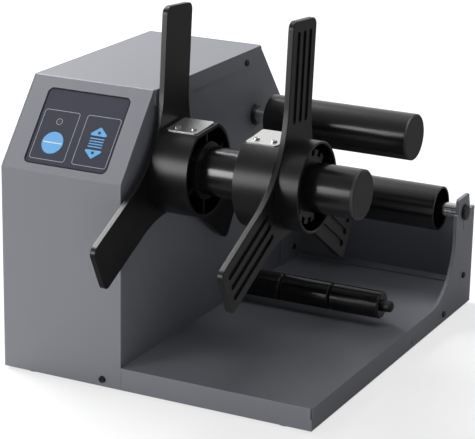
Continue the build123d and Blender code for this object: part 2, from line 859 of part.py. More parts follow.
with BuildPart() as spindle_bearings:
    add(ball_bearing(plate_in_x - bearing_w, journal_r + running, bearing_out_r))
    add(ball_bearing(housing_back_x, journal_r + running, bearing_out_r))
spindle_bearings.part.label = "spindle_bearings"
export_step(spindle_bearings.part, "parts/spindle_bearings.step")

tube_start = plate_x + 0.8
shoulder_r = 9.0
spindle_bore = spindle_r - spindle_wall
plug_len = 34.0
shaft_tail_x = pulley_left_x - 3.0

with BuildPart() as spindle_shaft:
    with BuildSketch(Plane.YZ.offset(shaft_tail_x)):
        Circle(journal_r)
    extrude(amount=tube_start - shaft_tail_x)
    chamfer(spindle_shaft.edges().group_by(Axis.X)[0], 0.6)
    with BuildSketch(Plane.YZ.offset(plate_in_x + running)):
        Circle(shoulder_r)
    extrude(amount=tube_start - plate_in_x - running)
    with BuildSketch(Plane.YZ.offset(tube_start)):
        Circle(spindle_bore)
    extrude(amount=plug_len)
spindle_shaft.part.label = "spindle_shaft"
export_step(spindle_shaft.part, "parts/spindle_shaft.step")

tube_end = spindle_len - cap_t

with BuildPart() as spindle_tube:
    add(ring_along_x(spindle_bore, spindle_r, tube_start, tube_end - tube_start))
spindle_tube.part.label = "spindle_tube"
export_step(spindle_tube.part, "parts/spindle_tube.step")

cap_chamfer = 1.2
cap_spigot = 8.0

with BuildPart() as spindle_end_cap:
    with BuildSketch(Plane.YZ.offset(tube_end)):
        Circle(spindle_r)
    extrude(amount=cap_t)
    chamfer(spindle_end_cap.edges().group_by(Axis.X)[-1], cap_chamfer)
    add(ring_along_x(spindle_bore - 2, spindle_bore, tube_end - cap_spigot, cap_spigot))
spindle_end_cap.part.label = "spindle_end_cap"
export_step(spindle_end_cap.part, "parts/spindle_end_cap.step")


def pulley(bore, seat_r, y=0.0, z=0.0):
    """Flat-belt pulley with a rim at each side, turned in the belt's plane."""
    body = ring_along_x(bore, seat_r, pulley_left_x, pulley_w, y, z)
    for rim_x in (pulley_left_x, pulley_right_x - pulley_rim_t):
        body = body + ring_along_x(bore, seat_r + pulley_rim, rim_x, pulley_rim_t, y, z)
    return body


with BuildPart() as spindle_pulley:
    add(pulley(journal_r, spindle_pulley_r))
    add(ring_along_x(journal_r, journal_r + 3, pulley_right_x, pulley_hub))
    # lightening ring between hub and rim
    for web_x in (pulley_left_x - 1, pulley_right_x - 2.5):
        with BuildSketch(Plane.YZ.offset(web_x)):
            Circle(spindle_pulley_r - 3)
            Circle(journal_r + 3.5, mode=Mode.SUBTRACT)
        extrude(amount=3.5, mode=Mode.SUBTRACT)
spindle_pulley.part.label = "spindle_pulley"
export_step(spindle_pulley.part, "parts/spindle_pulley.step")

with BuildPart() as motor_pulley:
    add(pulley(motor_shaft_r, motor_pulley_r, motor_y, motor_z))
motor_pulley.part.label = "motor_pulley"
export_step(motor_pulley.part, "parts/motor_pulley.step")

with BuildPart() as motor_shaft:
    add(ring_along_x(0, motor_shaft_r, motor_face_x - 4, pulley_right_x - motor_face_x + 6, motor_y, motor_z))
motor_shaft.part.label = "motor_shaft"
export_step(motor_shaft.part, "parts/motor_shaft.step")

pulley_span = hypot(motor_y, motor_z)
drive_angle = degrees(atan2(motor_z, motor_y))


def belt_outline(extra):
    """The open-belt loop round both pulleys, a set distance off their seats."""
    big = spindle_pulley_r + extra
    small = motor_pulley_r + extra
    lean = degrees(acos((big - small) / pulley_span))
    far = (motor_y, motor_z)
    with BuildSketch(mode=Mode.PRIVATE) as loop:
        with BuildLine():
            high = CenterArc((0, 0), big, drive_angle + lean, 360 - 2 * lean)
            low = CenterArc(far, small, drive_angle - lean, 2 * lean)
            Line(high @ 1, low @ 0)
            Line(low @ 1, high @ 0)
        make_face()
    return loop.sketch


with BuildPart() as drive_belt:
    with BuildSketch(Plane.YZ.offset(pulley_left_x + pulley_rim_t + belt_side)):
        add(belt_outline(belt_seat + belt_t))
        add(belt_outline(belt_seat), mode=Mode.SUBTRACT)
    extrude(amount=pulley_w - 2 * (pulley_rim_t + belt_side))
drive_belt.part.label = "drive_belt"
export_step(drive_belt.part, "parts/drive_belt.step")

with BuildPart() as gear_motor:
    add(ring_along_x(0, gearbox_r, motor_face_x - gearbox_len, gearbox_len, motor_y, motor_z))
    add(ring_along_x(0, can_r, motor_face_x - gearbox_len - can_len, can_len, motor_y, motor_z))
    add(ring_along_x(0, motor_boss_r, motor_end_x, motor_tail, motor_y, motor_z))
    with BuildSketch(Plane.YZ.offset(motor_face_x)):
        with Locations((motor_y, motor_z)):
            Circle(motor_shaft_r + running)
    extrude(amount=-4.3, mode=Mode.SUBTRACT)
    with BuildSketch(Plane.YZ.offset(motor_face_x)):
        with Locations((motor_y, motor_z)):
            with PolarLocations(motor_screw_circle, 4, 45):
                Circle(1.5)
    extrude(amount=-4, mode=Mode.SUBTRACT)
gear_motor.part.label = "gear_motor"
export_step(gear_motor.part, "parts/gear_motor.step")

with BuildPart() as motor_bracket:
    with BuildSketch(Plane.YZ.offset(motor_face_x)):
        with Locations((motor_y, (tray_z + motor_z + motor_bracket_half) / 2)):
            Rectangle(2 * motor_bracket_half, motor_z + motor_bracket_half - tray_z)
        with Locations((motor_y, motor_z)):
            Circle(7, mode=Mode.SUBTRACT)
            with PolarLocations(motor_screw_circle, 4, 45):
                Circle(1.5, mode=Mode.SUBTRACT)
    extrude(amount=motor_bracket_t)
    with BuildSketch(Plane.XY.offset(tray_z)):
        with Locations((motor_face_x - motor_foot / 2, motor_y)):
            Rectangle(motor_foot, 2 * motor_bracket_half)
    extrude(amount=motor_bracket_t)
motor_bracket.part.label = "motor_bracket"
export_step(motor_bracket.part, "parts/motor_bracket.step")

# =====================================================================================
# Flanges and core seats
# =====================================================================================
arm_angles = [90 - arm_turn + 120 * k for k in range(3)]
flat_angle = 90 + flat_lean
seat_lean = radians(flat_angle)


def arm_star():
    """Three arms with rounded tips, joined by wide concave arcs."""
    with BuildSketch(mode=Mode.PRIVATE) as star:
        for turn in arm_angles:
            with Locations(Location((0, 0, 0), turn)):
                Rectangle(arm_reach, arm_w, align=(Align.MIN, Align.CENTER))
        corners = star.vertices().sort_by_distance((0, 0, 0))
        fillet(corners[:3], arm_root_r)
        tips = star.vertices().sort_by_distance((0, 0, 0))[-6:]
        fillet(tips, arm_tip_r)
    return star.sketch


def drum_face(outer, top):
    """Drum section: a circle with one flat under the spring plate."""
    with BuildSketch(mode=Mode.PRIVATE) as face:
        Circle(outer)
        with Locations(Location((top * cos(seat_lean), top * sin(seat_lean), 0), flat_angle)):
            Rectangle(outer, 3 * outer, align=(Align.MIN, Align.CENTER), mode=Mode.SUBTRACT)
    return face.sketch


def flange_body(face_x, way):
    """Arms and drum of one flange; the drum points along way from the face."""
    bore_r = spindle_r + slide_fit
    drum_base = face_x if way > 0 else face_x - arm_t
    with BuildPart(mode=Mode.PRIVATE) as flange:
        with BuildSketch(Plane.YZ.offset(face_x - arm_t)):
            add(arm_star())
        extrude(amount=arm_t)
        chamfer(flange.edges().group_by(Axis.X)[-1 if way < 0 else 0], 0.5)
        with BuildSketch(Plane.YZ.offset(drum_base)):
            add(drum_face(drum_r, flat_h))
            add(drum_face(drum_r - drum_wall, flat_h - drum_wall), mode=Mode.SUBTRACT)
        extrude(amount=way * drum_len)
        with BuildSketch(Plane.YZ.offset(drum_base)):
            Circle(bore_r + hub_wall)
        extrude(amount=way * drum_len)
        with BuildSketch(Plane.YZ.offset(drum_base)):
            with PolarLocations(0, rib_count, arm_angles[0]):
                Rectangle(drum_r - drum_wall / 2, rib_t, align=(Align.MIN, Align.CENTER))
            add(drum_face(drum_r - drum_wall / 2, flat_h - drum_wall / 2), mode=Mode.INTERSECT)
        extrude(amount=way * (drum_len - rib_setback))
        with BuildSketch(Plane.YZ.offset(drum_base - way * (arm_t + 1))):
            Circle(bore_r)
        extrude(amount=way * (arm_t + drum_len + 2), mode=Mode.SUBTRACT)
    return flange.part


plate_screw_r = 1.4
plate_screw_head_r = 2.6
plate_screw_t = 1.7
flat_point = (flat_h * cos(seat_lean), flat_h * sin(seat_lean))
seat_spots = [(spring_len / 2 + side * screw_pitch / 2, screw_setback - spring_w / 2) for side in (-1, 1)]


def seat_plane(x_at):
    """Plane on a drum's flat: sketch x along the spindle, y rearwards, z outward from the flat."""
    return Plane(
        origin=(x_at, flat_point[0], flat_point[1]),
        x_dir=(1, 0, 0),
        z_dir=(0, cos(seat_lean), sin(seat_lean)),
    )


def spring_plate(x_at):
    """Spring steel plate: its front half lies on the flat, its rear half stands off it."""
    half = spring_w / 2
    lift = half * tan(radians(spring_lift))
    side = Plane(
        origin=seat_plane(x_at).origin,
        x_dir=(0, sin(seat_lean), -cos(seat_lean)),
        z_dir=(1, 0, 0),
    )
    with BuildPart(mode=Mode.PRIVATE) as leaf:
        with BuildSketch(side):
            with BuildLine():
                Polyline(
                    (-half, 0),
                    (0, 0),
                    (half, lift),
                    (half, lift + spring_t),
                    (0, spring_t),
                    (-half, spring_t),
                    close=True,
                )
            make_face()
        extrude(amount=spring_len)
        with BuildSketch(seat_plane(x_at)):
            RectangleRounded(spring_len, spring_w, spring_corner, align=(Align.MIN, Align.CENTER))
            with Locations(*seat_spots):
                Circle(plate_screw_r, mode=Mode.SUBTRACT)
        extrude(amount=lift + spring_t + 1, mode=Mode.INTERSECT)
    return leaf.part


def seat_screws(x_at):
    """Two pan-head screws through a spring plate into the drum."""
    with BuildPart(mode=Mode.PRIVATE) as pair:
        with BuildSketch(seat_plane(x_at).offset(spring_t)):
            with Locations(*seat_spots):
                Circle(plate_screw_head_r)
        extrude(amount=plate_screw_t - 0.3, taper=15)
        with BuildSketch(seat_plane(x_at).offset(spring_t)):
            with Locations(*seat_spots):
                Circle(plate_screw_r)
        extrude(amount=-(spring_t + drum_wall))
        with BuildSketch(seat_plane(x_at).offset(spring_t + plate_screw_t - 0.3)):
            with Locations(*seat_spots):
                Rectangle(2.9, 0.6)
                Rectangle(0.6, 2.9)
        extrude(amount=-0.7, mode=Mode.SUBTRACT)
    return pair.part


def screw_pilots(x_at):
    """Pilot holes for the spring plate's screws."""
    with BuildPart(mode=Mode.PRIVATE) as pilots:
        with BuildSketch(seat_plane(x_at)):
            with Locations(*seat_spots):
                Circle(plate_screw_r)
        extrude(amount=-drum_wall)
    return pilots.part


inner_leaf_x = drum_len - spring_inset - spring_len
outer_drum_end = flange_spacing - arm_t - drum_len
outer_leaf_x = outer_drum_end + spring_margin

with BuildPart() as inner_flange:
    add(flange_body(0, 1))
    add(screw_pilots(inner_leaf_x), mode=Mode.SUBTRACT)
inner_flange.part.label = "inner_flange"
export_step(inner_flange.part, "parts/inner_flange.step")

with BuildPart() as inner_spring_plate:
    add(spring_plate(inner_leaf_x))
inner_spring_plate.part.label = "inner_spring_plate"
export_step(inner_spring_plate.part, "parts/inner_spring_plate.step")

with BuildPart() as inner_plate_screws:
    add(seat_screws(inner_leaf_x))
inner_plate_screws.part.label = "inner_plate_screws"
export_step(inner_plate_screws.part, "parts/inner_plate_screws.step")

hub_tail = 6.5
collar_fit = 0.08

with BuildPart() as outer_flange:
    add(flange_body(flange_spacing, -1))
    add(screw_pilots(outer_leaf_x), mode=Mode.SUBTRACT)
    # sunk grooves along each arm
    with BuildSketch(Plane.YZ.offset(flange_spacing)):
        for turn in arm_angles:
            for lane in (-1, 0, 1):
                with Locations(Location((0, 0, 0), turn)):
                    with Locations(((groove_root + arm_reach - groove_tip_margin) / 2, lane * groove_pitch)):
                        SlotOverall(arm_reach - groove_tip_margin - groove_root, groove_w)
    extrude(amount=-groove_depth, mode=Mode.SUBTRACT)
    # cup round the lock ring, and the hub it grips
    add(ring_along_x(cup_r - cup_wall, cup_r, flange_spacing, boss_len))
    add(ring_along_x(spindle_r + slide_fit, spindle_r + slide_fit + hub_wall, flange_spacing, hub_tail))
    chamfer(outer_flange.edges().group_by(Axis.X)[-1], 0.6)
outer_flange.part.label = "outer_flange"
export_step(outer_flange.part, "parts/outer_flange.step")

with BuildPart() as outer_spring_plate:
    add(spring_plate(outer_leaf_x))
outer_spring_plate.part.label = "outer_spring_plate"
export_step(outer_spring_plate.part, "parts/outer_spring_plate.step")

with BuildPart() as outer_plate_screws:
    add(seat_screws(outer_leaf_x))
outer_plate_screws.part.label = "outer_plate_screws"
export_step(outer_plate_screws.part, "parts/outer_plate_screws.step")

ring_bore = spindle_r + slide_fit + hub_wall + collar_fit
ring_start = flange_spacing + 0.4

with BuildPart() as lock_ring:
    add(ring_along_x(ring_bore, ring_r, ring_start, hub_tail + 0.3))
    add(ring_along_x(spindle_r + slide_fit, ring_r, ring_start + hub_tail + 0.3, ring_len))
    with BuildSketch(Plane.YZ.offset(ring_start + hub_tail + 0.3 + ring_len)):
        with PolarLocations(ring_r, ring_notches, arm_angles[0]):
            Rectangle(2 * ring_notch_depth, ring_notch_w)
    extrude(amount=-(ring_len + 3), mode=Mode.SUBTRACT)
lock_ring.part.label = "lock_ring"
export_step(lock_ring.part, "parts/lock_ring.step")

# =====================================================================================
# Upper guide roller on a fixed axle
# =====================================================================================
upper_start = plate_x + upper_gap
upper_end = upper_start + upper_len
roller_bore = roller_r - roller_wall
roller_cap_t = 2.5
roller_inset = 4.0
axle_nut_t = 8.0
washer_t = 1.5
axle_stop = 0.8
upper_axle_end = upper_end - roller_cap_t - axle_stop

with BuildPart() as upper_roller_axle:
    axle_left = plate_in_x - washer_t - axle_nut_t - 2.0
    add(ring_along_x(0, axle_r, axle_left, upper_axle_end - axle_left, upper_y, upper_z))
    chamfer(upper_roller_axle.edges().group_by(Axis.X)[0], 0.6)
    chamfer(upper_roller_axle.edges().group_by(Axis.X)[-1], 0.6)
upper_roller_axle.part.label = "upper_roller_axle"
export_step(upper_roller_axle.part, "parts/upper_roller_axle.step")

with BuildPart() as upper_roller_bush:
    add(ring_along_x(axle_r, bush_r, plate_x, bush_t, upper_y, upper_z))
    chamfer(upper_roller_bush.edges().group_by(Axis.X)[-1].sort_by(SortBy.LENGTH)[-1], 0.8)
    add(ring_along_x(axle_r, bush_neck_r, plate_in_x, plate_t, upper_y, upper_z))
upper_roller_bush.part.label = "upper_roller_bush"
export_step(upper_roller_bush.part, "parts/upper_roller_bush.step")

with BuildPart() as upper_axle_nut:
    add(ring_along_x(axle_r, 12.0, plate_in_x - washer_t, washer_t, upper_y, upper_z))
    with BuildSketch(Plane.YZ.offset(plate_in_x - washer_t)):
        with Locations((upper_y, upper_z)):
            RegularPolygon(11.0, 6)
            Circle(axle_r, mode=Mode.SUBTRACT)
    extrude(amount=-axle_nut_t)
upper_axle_nut.part.label = "upper_axle_nut"
export_step(upper_axle_nut.part, "parts/upper_axle_nut.step")

left_bearing_x = upper_start + roller_inset
right_bearing_x = upper_end - roller_cap_t - roller_inset - bearing_w

with BuildPart() as upper_roller_tube:
    add(ring_along_x(roller_bore, roller_r, upper_start, upper_len - roller_cap_t, upper_y, upper_z))
    chamfer(upper_roller_tube.edges().group_by(Axis.X)[0].sort_by(SortBy.LENGTH)[-1], 0.8)
upper_roller_tube.part.label = "upper_roller_tube"
export_step(upper_roller_tube.part, "parts/upper_roller_tube.step")

with BuildPart() as upper_roller_cap:
    add(ring_along_x(0, roller_r, upper_end - roller_cap_t, roller_cap_t, upper_y, upper_z))
    chamfer(upper_roller_cap.edges().group_by(Axis.X)[-1], 0.9)
    add(ring_along_x(roller_bore - 2, roller_bore, upper_end - roller_cap_t - 2, 2, upper_y, upper_z))
upper_roller_cap.part.label = "upper_roller_cap"
export_step(upper_roller_cap.part, "parts/upper_roller_cap.step")

with BuildPart() as upper_roller_bearings:
    add(ball_bearing(left_bearing_x, axle_r + running, roller_bore, upper_y, upper_z))
    add(ball_bearing(right_bearing_x, axle_r + running, roller_bore, upper_y, upper_z))
upper_roller_bearings.part.label = "upper_roller_bearings"
export_step(upper_roller_bearings.part, "parts/upper_roller_bearings.step")

# =====================================================================================
# Rear frame, right bracket and the lower roller between them
# =====================================================================================
ear_t = 2.0
ear_x = plate_x
ear_lap = 0.4               # rear frame's ear behind the mounting plate's rear edge
ear_front = rear_y + ear_lap
ear_rise = 14.2             # ear's top above the lower axle
ear_top = lower_z + ear_rise
wall_top = lower_z - 1.3
bracket_arc_r = 50.0
bracket_arc_z = tray_z + bracket_arc_r
ledge_y = lower_y + 13.5
ear_step_y = lower_y - 16.5
ear_shoulder_z = lower_z + 0.7
ear_inset = 3.7
ear_corner = 1.5
fold_w = 26.0
frame_screws = [(lower_y + 2.0, tray_z + 11.5)]
saw_cut = 1.0
saw_low = lower_z - 15.3


def ear_profile(front, back, low):
    """Outline of an ear round the lower axle, from its front foot to its rear foot."""
    return [
        (front, low),
        (front, ear_shoulder_z),
        (ear_step_y + ear_inset, ear_shoulder_z),
        (ear_step_y + ear_inset, ear_top - ear_corner),
        (ear_step_y + ear_inset + ear_corner, ear_top),
        (ledge_y - 3.5, ear_top),
        (ledge_y, ear_top - 11.5),
        (ledge_y, wall_top + 1.0),
        (back, wall_top + 1.0),
        (back, low),
    ]


with BuildPart() as rear_frame:
    with BuildSketch(Plane.XZ.offset(-wall_y)):
        with Locations(((ear_x + bracket_x) / 2, (wall_top + tray_z) / 2)):
            Rectangle(bracket_x - ear_x, wall_top - tray_z)
    extrude(amount=-sheet)
    with BuildSketch(Plane.YZ.offset(ear_x)):
        with BuildLine():
            Polyline(*ear_profile(ear_front, back_y, tray_z), close=True)
        make_face()
        with Locations((lower_y, lower_z)):
            Circle(axle_r, mode=Mode.SUBTRACT)
    extrude(amount=ear_t)
    # folds: one on the tray, one against the right bracket
    with BuildSketch(Plane.XY.offset(tray_z)):
        with Locations(((ear_x + bracket_x) / 2, wall_y - 6)):
            Rectangle(bracket_x - ear_x, 12)
    extrude(amount=sheet)
    with BuildSketch(Plane.YZ.offset(bracket_x)):
        with Locations((wall_y - fold_w / 2 + sheet, tray_z + 14)):
            Rectangle(fold_w, 28)
        with Locations(bracket_screws[0]):
            Circle(screw_r, mode=Mode.SUBTRACT)
    extrude(amount=-sheet)
    with BuildSketch(Plane.YZ.offset(ear_x)):
        with Locations(*frame_screws):
            Circle(screw_r)
    extrude(amount=ear_t, mode=Mode.SUBTRACT)
rear_frame.part.label = "rear_frame"
export_step(rear_frame.part, "parts/rear_frame.step")

with BuildPart() as right_bracket:
    with BuildSketch(Plane.YZ.offset(bracket_x)):
        with BuildLine():
            Polyline(
                *ear_profile(ear_step_y, back_y, bracket_arc_z)[:-1],
                (back_y, skirt_z),
                (bracket_front_y + seam, skirt_z),
                (bracket_front_y + seam, tray_z),
                (ear_step_y - bracket_arc_r, tray_z),
            )
            CenterArc((ear_step_y - bracket_arc_r, bracket_arc_z), bracket_arc_r, -90, 90)
        make_face()
        with Locations((lower_y, lower_z)):
            Circle(axle_r, mode=Mode.SUBTRACT)
        # saw cut below the axle hole
        with Locations((lower_y, (lower_z + saw_low) / 2)):
            Rectangle(saw_cut, lower_z - saw_low, mode=Mode.SUBTRACT)
        with Locations(*bracket_screws):
            Circle(screw_r, mode=Mode.SUBTRACT)
    extrude(amount=bracket_t)
right_bracket.part.label = "right_bracket"
export_step(right_bracket.part, "parts/right_bracket.step")

axle_cap_t = 3.0
cap_stem_r = 3.0
cap_stem = 9.0

with BuildPart() as lower_roller_axle:
    add(ring_along_x(0, axle_r, ear_x, right_x - ear_x, lower_y, lower_z))
    add(ring_along_x(0, cap_stem_r, ear_x, cap_stem, lower_y, lower_z), mode=Mode.SUBTRACT)
    add(ring_along_x(0, cap_stem_r, right_x - cap_stem, cap_stem, lower_y, lower_z), mode=Mode.SUBTRACT)
lower_roller_axle.part.label = "lower_roller_axle"
export_step(lower_roller_axle.part, "parts/lower_roller_axle.step")

with BuildPart() as lower_axle_caps:
    add(ring_along_x(0, axle_cap_r, right_x, axle_cap_t, lower_y, lower_z))
    add(ring_along_x(0, axle_cap_r, ear_x - axle_cap_t, axle_cap_t, lower_y, lower_z))
    chamfer(lower_axle_caps.edges().group_by(Axis.X)[-1], 0.8)
    chamfer(lower_axle_caps.edges().group_by(Axis.X)[0], 0.8)
    add(ring_along_x(0, cap_stem_r, right_x - cap_stem, cap_stem, lower_y, lower_z))
    add(ring_along_x(0, cap_stem_r, ear_x, cap_stem, lower_y, lower_z))
lower_axle_caps.part.label = "lower_axle_caps"
export_step(lower_axle_caps.part, "parts/lower_axle_caps.step")

with BuildPart() as lower_roller_tube:
    add(ring_along_x(roller_bore, roller_r, lower_start, lower_end - lower_start, lower_y, lower_z))
lower_roller_tube.part.label = "lower_roller_tube"
export_step(lower_roller_tube.part, "parts/lower_roller_tube.step")

low_left_x = lower_start + plug_recess
low_right_x = lower_end - plug_recess - bearing_w

with BuildPart() as lower_roller_bearings:
    add(ball_bearing(low_left_x, axle_r + running, roller_bore, lower_y, lower_z))
    add(ball_bearing(low_right_x, axle_r + running, roller_bore, lower_y, lower_z))
lower_roller_bearings.part.label = "lower_roller_bearings"
export_step(lower_roller_bearings.part, "parts/lower_roller_bearings.step")

with BuildPart() as axle_rings:
    add(ring_along_x(axle_r, axle_ring_r, left_bearing_x - 0.3 - axle_ring_t, axle_ring_t, upper_y, upper_z))
    add(ring_along_x(axle_r, axle_ring_r, right_bearing_x - 0.3 - axle_ring_t, axle_ring_t, upper_y, upper_z))
    add(ring_along_x(axle_r, axle_ring_r, low_left_x - 0.3 - axle_ring_t, axle_ring_t, lower_y, lower_z))
    add(ring_along_x(axle_r, axle_ring_r, low_right_x + bearing_w + 0.3, axle_ring_t, lower_y, lower_z))
axle_rings.part.label = "axle_rings"
export_step(axle_rings.part, "parts/axle_rings.step")

# =====================================================================================
# Tension bar: swings on a pin behind the plate and carries three loose sleeves
# =====================================================================================
bar_arm_x = plate_in_x - 4.0 - bar_arm_t
hub_r = 8.0
hub_gap = 0.4
pin_head_r = 7.0
pin_head_t = 2.0
hub_left_x = bar_arm_x - 8.0
spring_in_r = hub_r + 0.6
spring_out_r = spring_in_r + 1.2
spring_turns_len = 7.0
first_sleeve_x = plate_x + bar_clear + 2.0
last_sleeve_end = first_sleeve_x + sleeve_count * sleeve_len + (sleeve_count - 1) * sleeve_gap
bar_shoulder = 1.2

with BuildPart() as bar_pivot_pin:
    add(ring_along_x(0, pivot_r, hub_left_x - hub_gap, plate_in_x - hub_left_x + hub_gap, pivot_y, pivot_z))
    add(ring_along_x(0, pin_head_r, hub_left_x - hub_gap - pin_head_t, pin_head_t, pivot_y, pivot_z))
bar_pivot_pin.part.label = "bar_pivot_pin"
export_step(bar_pivot_pin.part, "parts/bar_pivot_pin.step")

with BuildPart() as tension_arm:
    with BuildSketch(Plane.YZ.offset(bar_arm_x)):
        with Locations(((pivot_y + bar_y) / 2, (pivot_z + bar_z) / 2)):
            SlotCenterToCenter(arm_len, bar_arm_w, rotation=arm_angle)
    extrude(amount=bar_arm_t)
    add(ring_along_x(0, hub_r, hub_left_x, plate_in_x - hub_gap - hub_left_x, pivot_y, pivot_z))
    add(ring_along_x(0, pivot_r + running, hub_left_x - 1, plate_in_x - hub_left_x + 1, pivot_y, pivot_z),
        mode=Mode.SUBTRACT)
    add(ring_along_x(0, bar_r, bar_arm_x - 1, bar_arm_t + 2, bar_y, bar_z), mode=Mode.SUBTRACT)
tension_arm.part.label = "tension_arm"
export_step(tension_arm.part, "parts/tension_arm.step")

with BuildPart() as tension_bar:
    add(ring_along_x(0, bar_r, bar_arm_x, last_sleeve_end + bar_tail - bar_arm_x, bar_y, bar_z))
    fillet(tension_bar.edges().group_by(Axis.X)[-1], bar_r * 0.6)
    add(ring_along_x(0, bar_r + bar_shoulder, first_sleeve_x - 1.6, 1.3, bar_y, bar_z))
tension_bar.part.label = "tension_bar"
export_step(tension_bar.part, "parts/tension_bar.step")

sleeve_names = ["sleeve_inner", "sleeve_middle", "sleeve_outer"]
for index, sleeve_name in enumerate(sleeve_names):
    sleeve_x = first_sleeve_x + index * (sleeve_len + sleeve_gap)
    with BuildPart() as sleeve:
        add(ring_along_x(bar_r + running, sleeve_r, sleeve_x, sleeve_len, bar_y, bar_z))
        chamfer(sleeve.edges().filter_by(GeomType.CIRCLE).sort_by(SortBy.RADIUS)[-2:], 1.2)
    sleeve.part.label = sleeve_name
    export_step(sleeve.part, "parts/" + sleeve_name + ".step")

# return spring round the hub: the coil as a plain hollow, with its two legs
leg_t = 1.2
leg_len = 18.0
spring_x = hub_left_x + 0.3

with BuildPart() as arm_spring:
    add(ring_along_x(spring_in_r, spring_out_r, spring_x, spring_turns_len, pivot_y, pivot_z))
    with Locations((spring_x + leg_t / 2, pivot_y - leg_len / 2, pivot_z + spring_out_r - leg_t / 2)):
        Box(leg_t, leg_len, leg_t)
arm_spring.part.label = "arm_spring"
export_step(arm_spring.part, "parts/arm_spring.step")

post_y = pivot_y - leg_len + 1.5
post_z = pivot_z + spring_out_r - leg_t - 2.5

with BuildPart() as spring_post:
    add(ring_along_x(0, 2.5, spring_x - 1.5, plate_in_x - spring_x + 1.5, post_y, post_z))
spring_post.part.label = "spring_post"
export_step(spring_post.part, "parts/spring_post.step")

sensor_w = 8.0
sensor_y_len = 20.0
sensor_h = 10.0
sensor_drop = 48.0          # below the arm's pivot
sensor_z = pivot_z - sensor_drop
arm_edge_y = pivot_y + (pivot_z - sensor_z) / -sin(radians(arm_angle)) * cos(radians(arm_angle))
sensor_right = arm_edge_y - bar_arm_w / 2 / sin(radians(-arm_angle)) - 2.5

with BuildPart() as stop_switch:
    with Locations((plate_in_x - sensor_w / 2, sensor_right - sensor_y_len / 2, sensor_z)):
        Box(sensor_w, sensor_y_len, sensor_h)
    with Locations((plate_in_x - sensor_w / 2, sensor_right + 0.6, sensor_z)):
        Box(3.0, 1.2, 2.0)
stop_switch.part.label = "stop_switch"
export_step(stop_switch.part, "parts/stop_switch.step")

# =====================================================================================
# Pan-head screws: one size throughout
# =====================================================================================
with BuildPart() as machine_screws:
    # cover lip, front skirt and rear panel
    add(pan_screws(Plane.YZ.offset(plate_x + lip_t), lip_screws, screw_r, lip_t + plate_t + 1.5))
    add(pan_screws(Plane.XZ.offset(-front_y), apron_screws, screw_r, shank_len))
    add(pan_screws(
        Plane(origin=(0, rear_y, 0), x_dir=(1, 0, 0), z_dir=(0, 1, 0)),
        [(spot_x, -spot_z) for spot_x, spot_z in rear_screws],
        screw_r, shank_len,
    ))
    # right bracket and the ear of the rear frame
    add(pan_screws(Plane.YZ.offset(right_x), bracket_screws, screw_r, bracket_t + sheet))
    add(pan_screws(Plane.YZ.offset(ear_x + ear_t), frame_screws, screw_r, ear_t))
    # panel board on its posts
    add(pan_screws(
        Plane(
            origin=panel_plane.offset(board_top - board_t).origin,
            x_dir=(1, 0, 0),
            z_dir=(0, slope_rise, -slope_run),
        ),
        [(spot_x, -spot_s) for spot_x, spot_s in post_spots],
        screw_r, board_t,
    ))
    # bearing housing and gear motor
    add(pan_screws(
        facing_left(plate_in_x - housing_flange_t),
        [(-spot_y, spot_z) for spot_y, spot_z in housing_spots],
        screw_r, housing_flange_t,
    ))
    for turn in (45, 135, 225, 315):
        spot = (
            motor_y + motor_screw_circle * cos(radians(turn)),
            motor_z + motor_screw_circle * sin(radians(turn)),
        )
        add(pan_screws(Plane.YZ.offset(bracket_right_x), [spot], screw_r, motor_bracket_t + 4))
machine_screws.part.label = "machine_screws"
export_step(machine_screws.part, "parts/machine_screws.step")
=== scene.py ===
import json
import math

import bmesh
import bpy
from mathutils import Matrix, Vector


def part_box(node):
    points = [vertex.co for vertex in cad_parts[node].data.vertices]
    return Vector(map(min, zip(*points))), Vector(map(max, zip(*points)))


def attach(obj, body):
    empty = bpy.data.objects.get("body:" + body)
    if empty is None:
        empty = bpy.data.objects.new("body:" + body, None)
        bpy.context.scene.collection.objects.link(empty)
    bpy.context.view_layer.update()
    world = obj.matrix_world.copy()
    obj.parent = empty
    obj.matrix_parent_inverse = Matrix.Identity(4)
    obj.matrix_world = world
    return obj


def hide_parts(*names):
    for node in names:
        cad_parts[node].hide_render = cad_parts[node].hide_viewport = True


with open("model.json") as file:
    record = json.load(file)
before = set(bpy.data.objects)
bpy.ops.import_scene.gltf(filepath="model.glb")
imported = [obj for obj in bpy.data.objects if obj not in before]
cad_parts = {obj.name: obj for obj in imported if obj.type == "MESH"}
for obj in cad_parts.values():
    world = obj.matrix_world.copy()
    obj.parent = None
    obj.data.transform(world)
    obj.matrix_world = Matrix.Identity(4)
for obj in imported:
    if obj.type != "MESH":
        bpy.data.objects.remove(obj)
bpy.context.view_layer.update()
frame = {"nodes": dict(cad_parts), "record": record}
nodes = frame["nodes"]
print("frame loaded,", len(nodes), "nodes")

mm = 0.001


# camera, as the photograph was taken
cameraView = {
    "place": (0.70905, -1.29937, 0.42586),
    "azimuth": 26.68,
    "elevation": 17.60,
    "roll": 1.05,
    "lens": 151.1,
}


def makeCamera(v):
    a, e, r = (math.radians(v[k]) for k in ("azimuth", "elevation", "roll"))
    back = Vector((math.sin(a) * math.cos(e), -math.cos(a) * math.cos(e), math.sin(e)))
    right = Vector((math.cos(a), math.sin(a), 0))
    up = back.cross(right)
    tiltedRight = right * math.cos(r) + up * math.sin(r)
    tiltedUp = up * math.cos(r) - right * math.sin(r)
    data = bpy.data.cameras.new("camera")
    data.lens = v["lens"]
    data.sensor_width = 36
    data.clip_start, data.clip_end = 0.05, 50
    cam = bpy.data.objects.new("camera", data)
    bpy.context.scene.collection.objects.link(cam)
    turn = Matrix((tiltedRight, tiltedUp, back)).transposed().to_4x4()
    cam.matrix_world = Matrix.Translation(v["place"]) @ turn
    bpy.context.scene.camera = cam


makeCamera(cameraView)
print("camera placed")


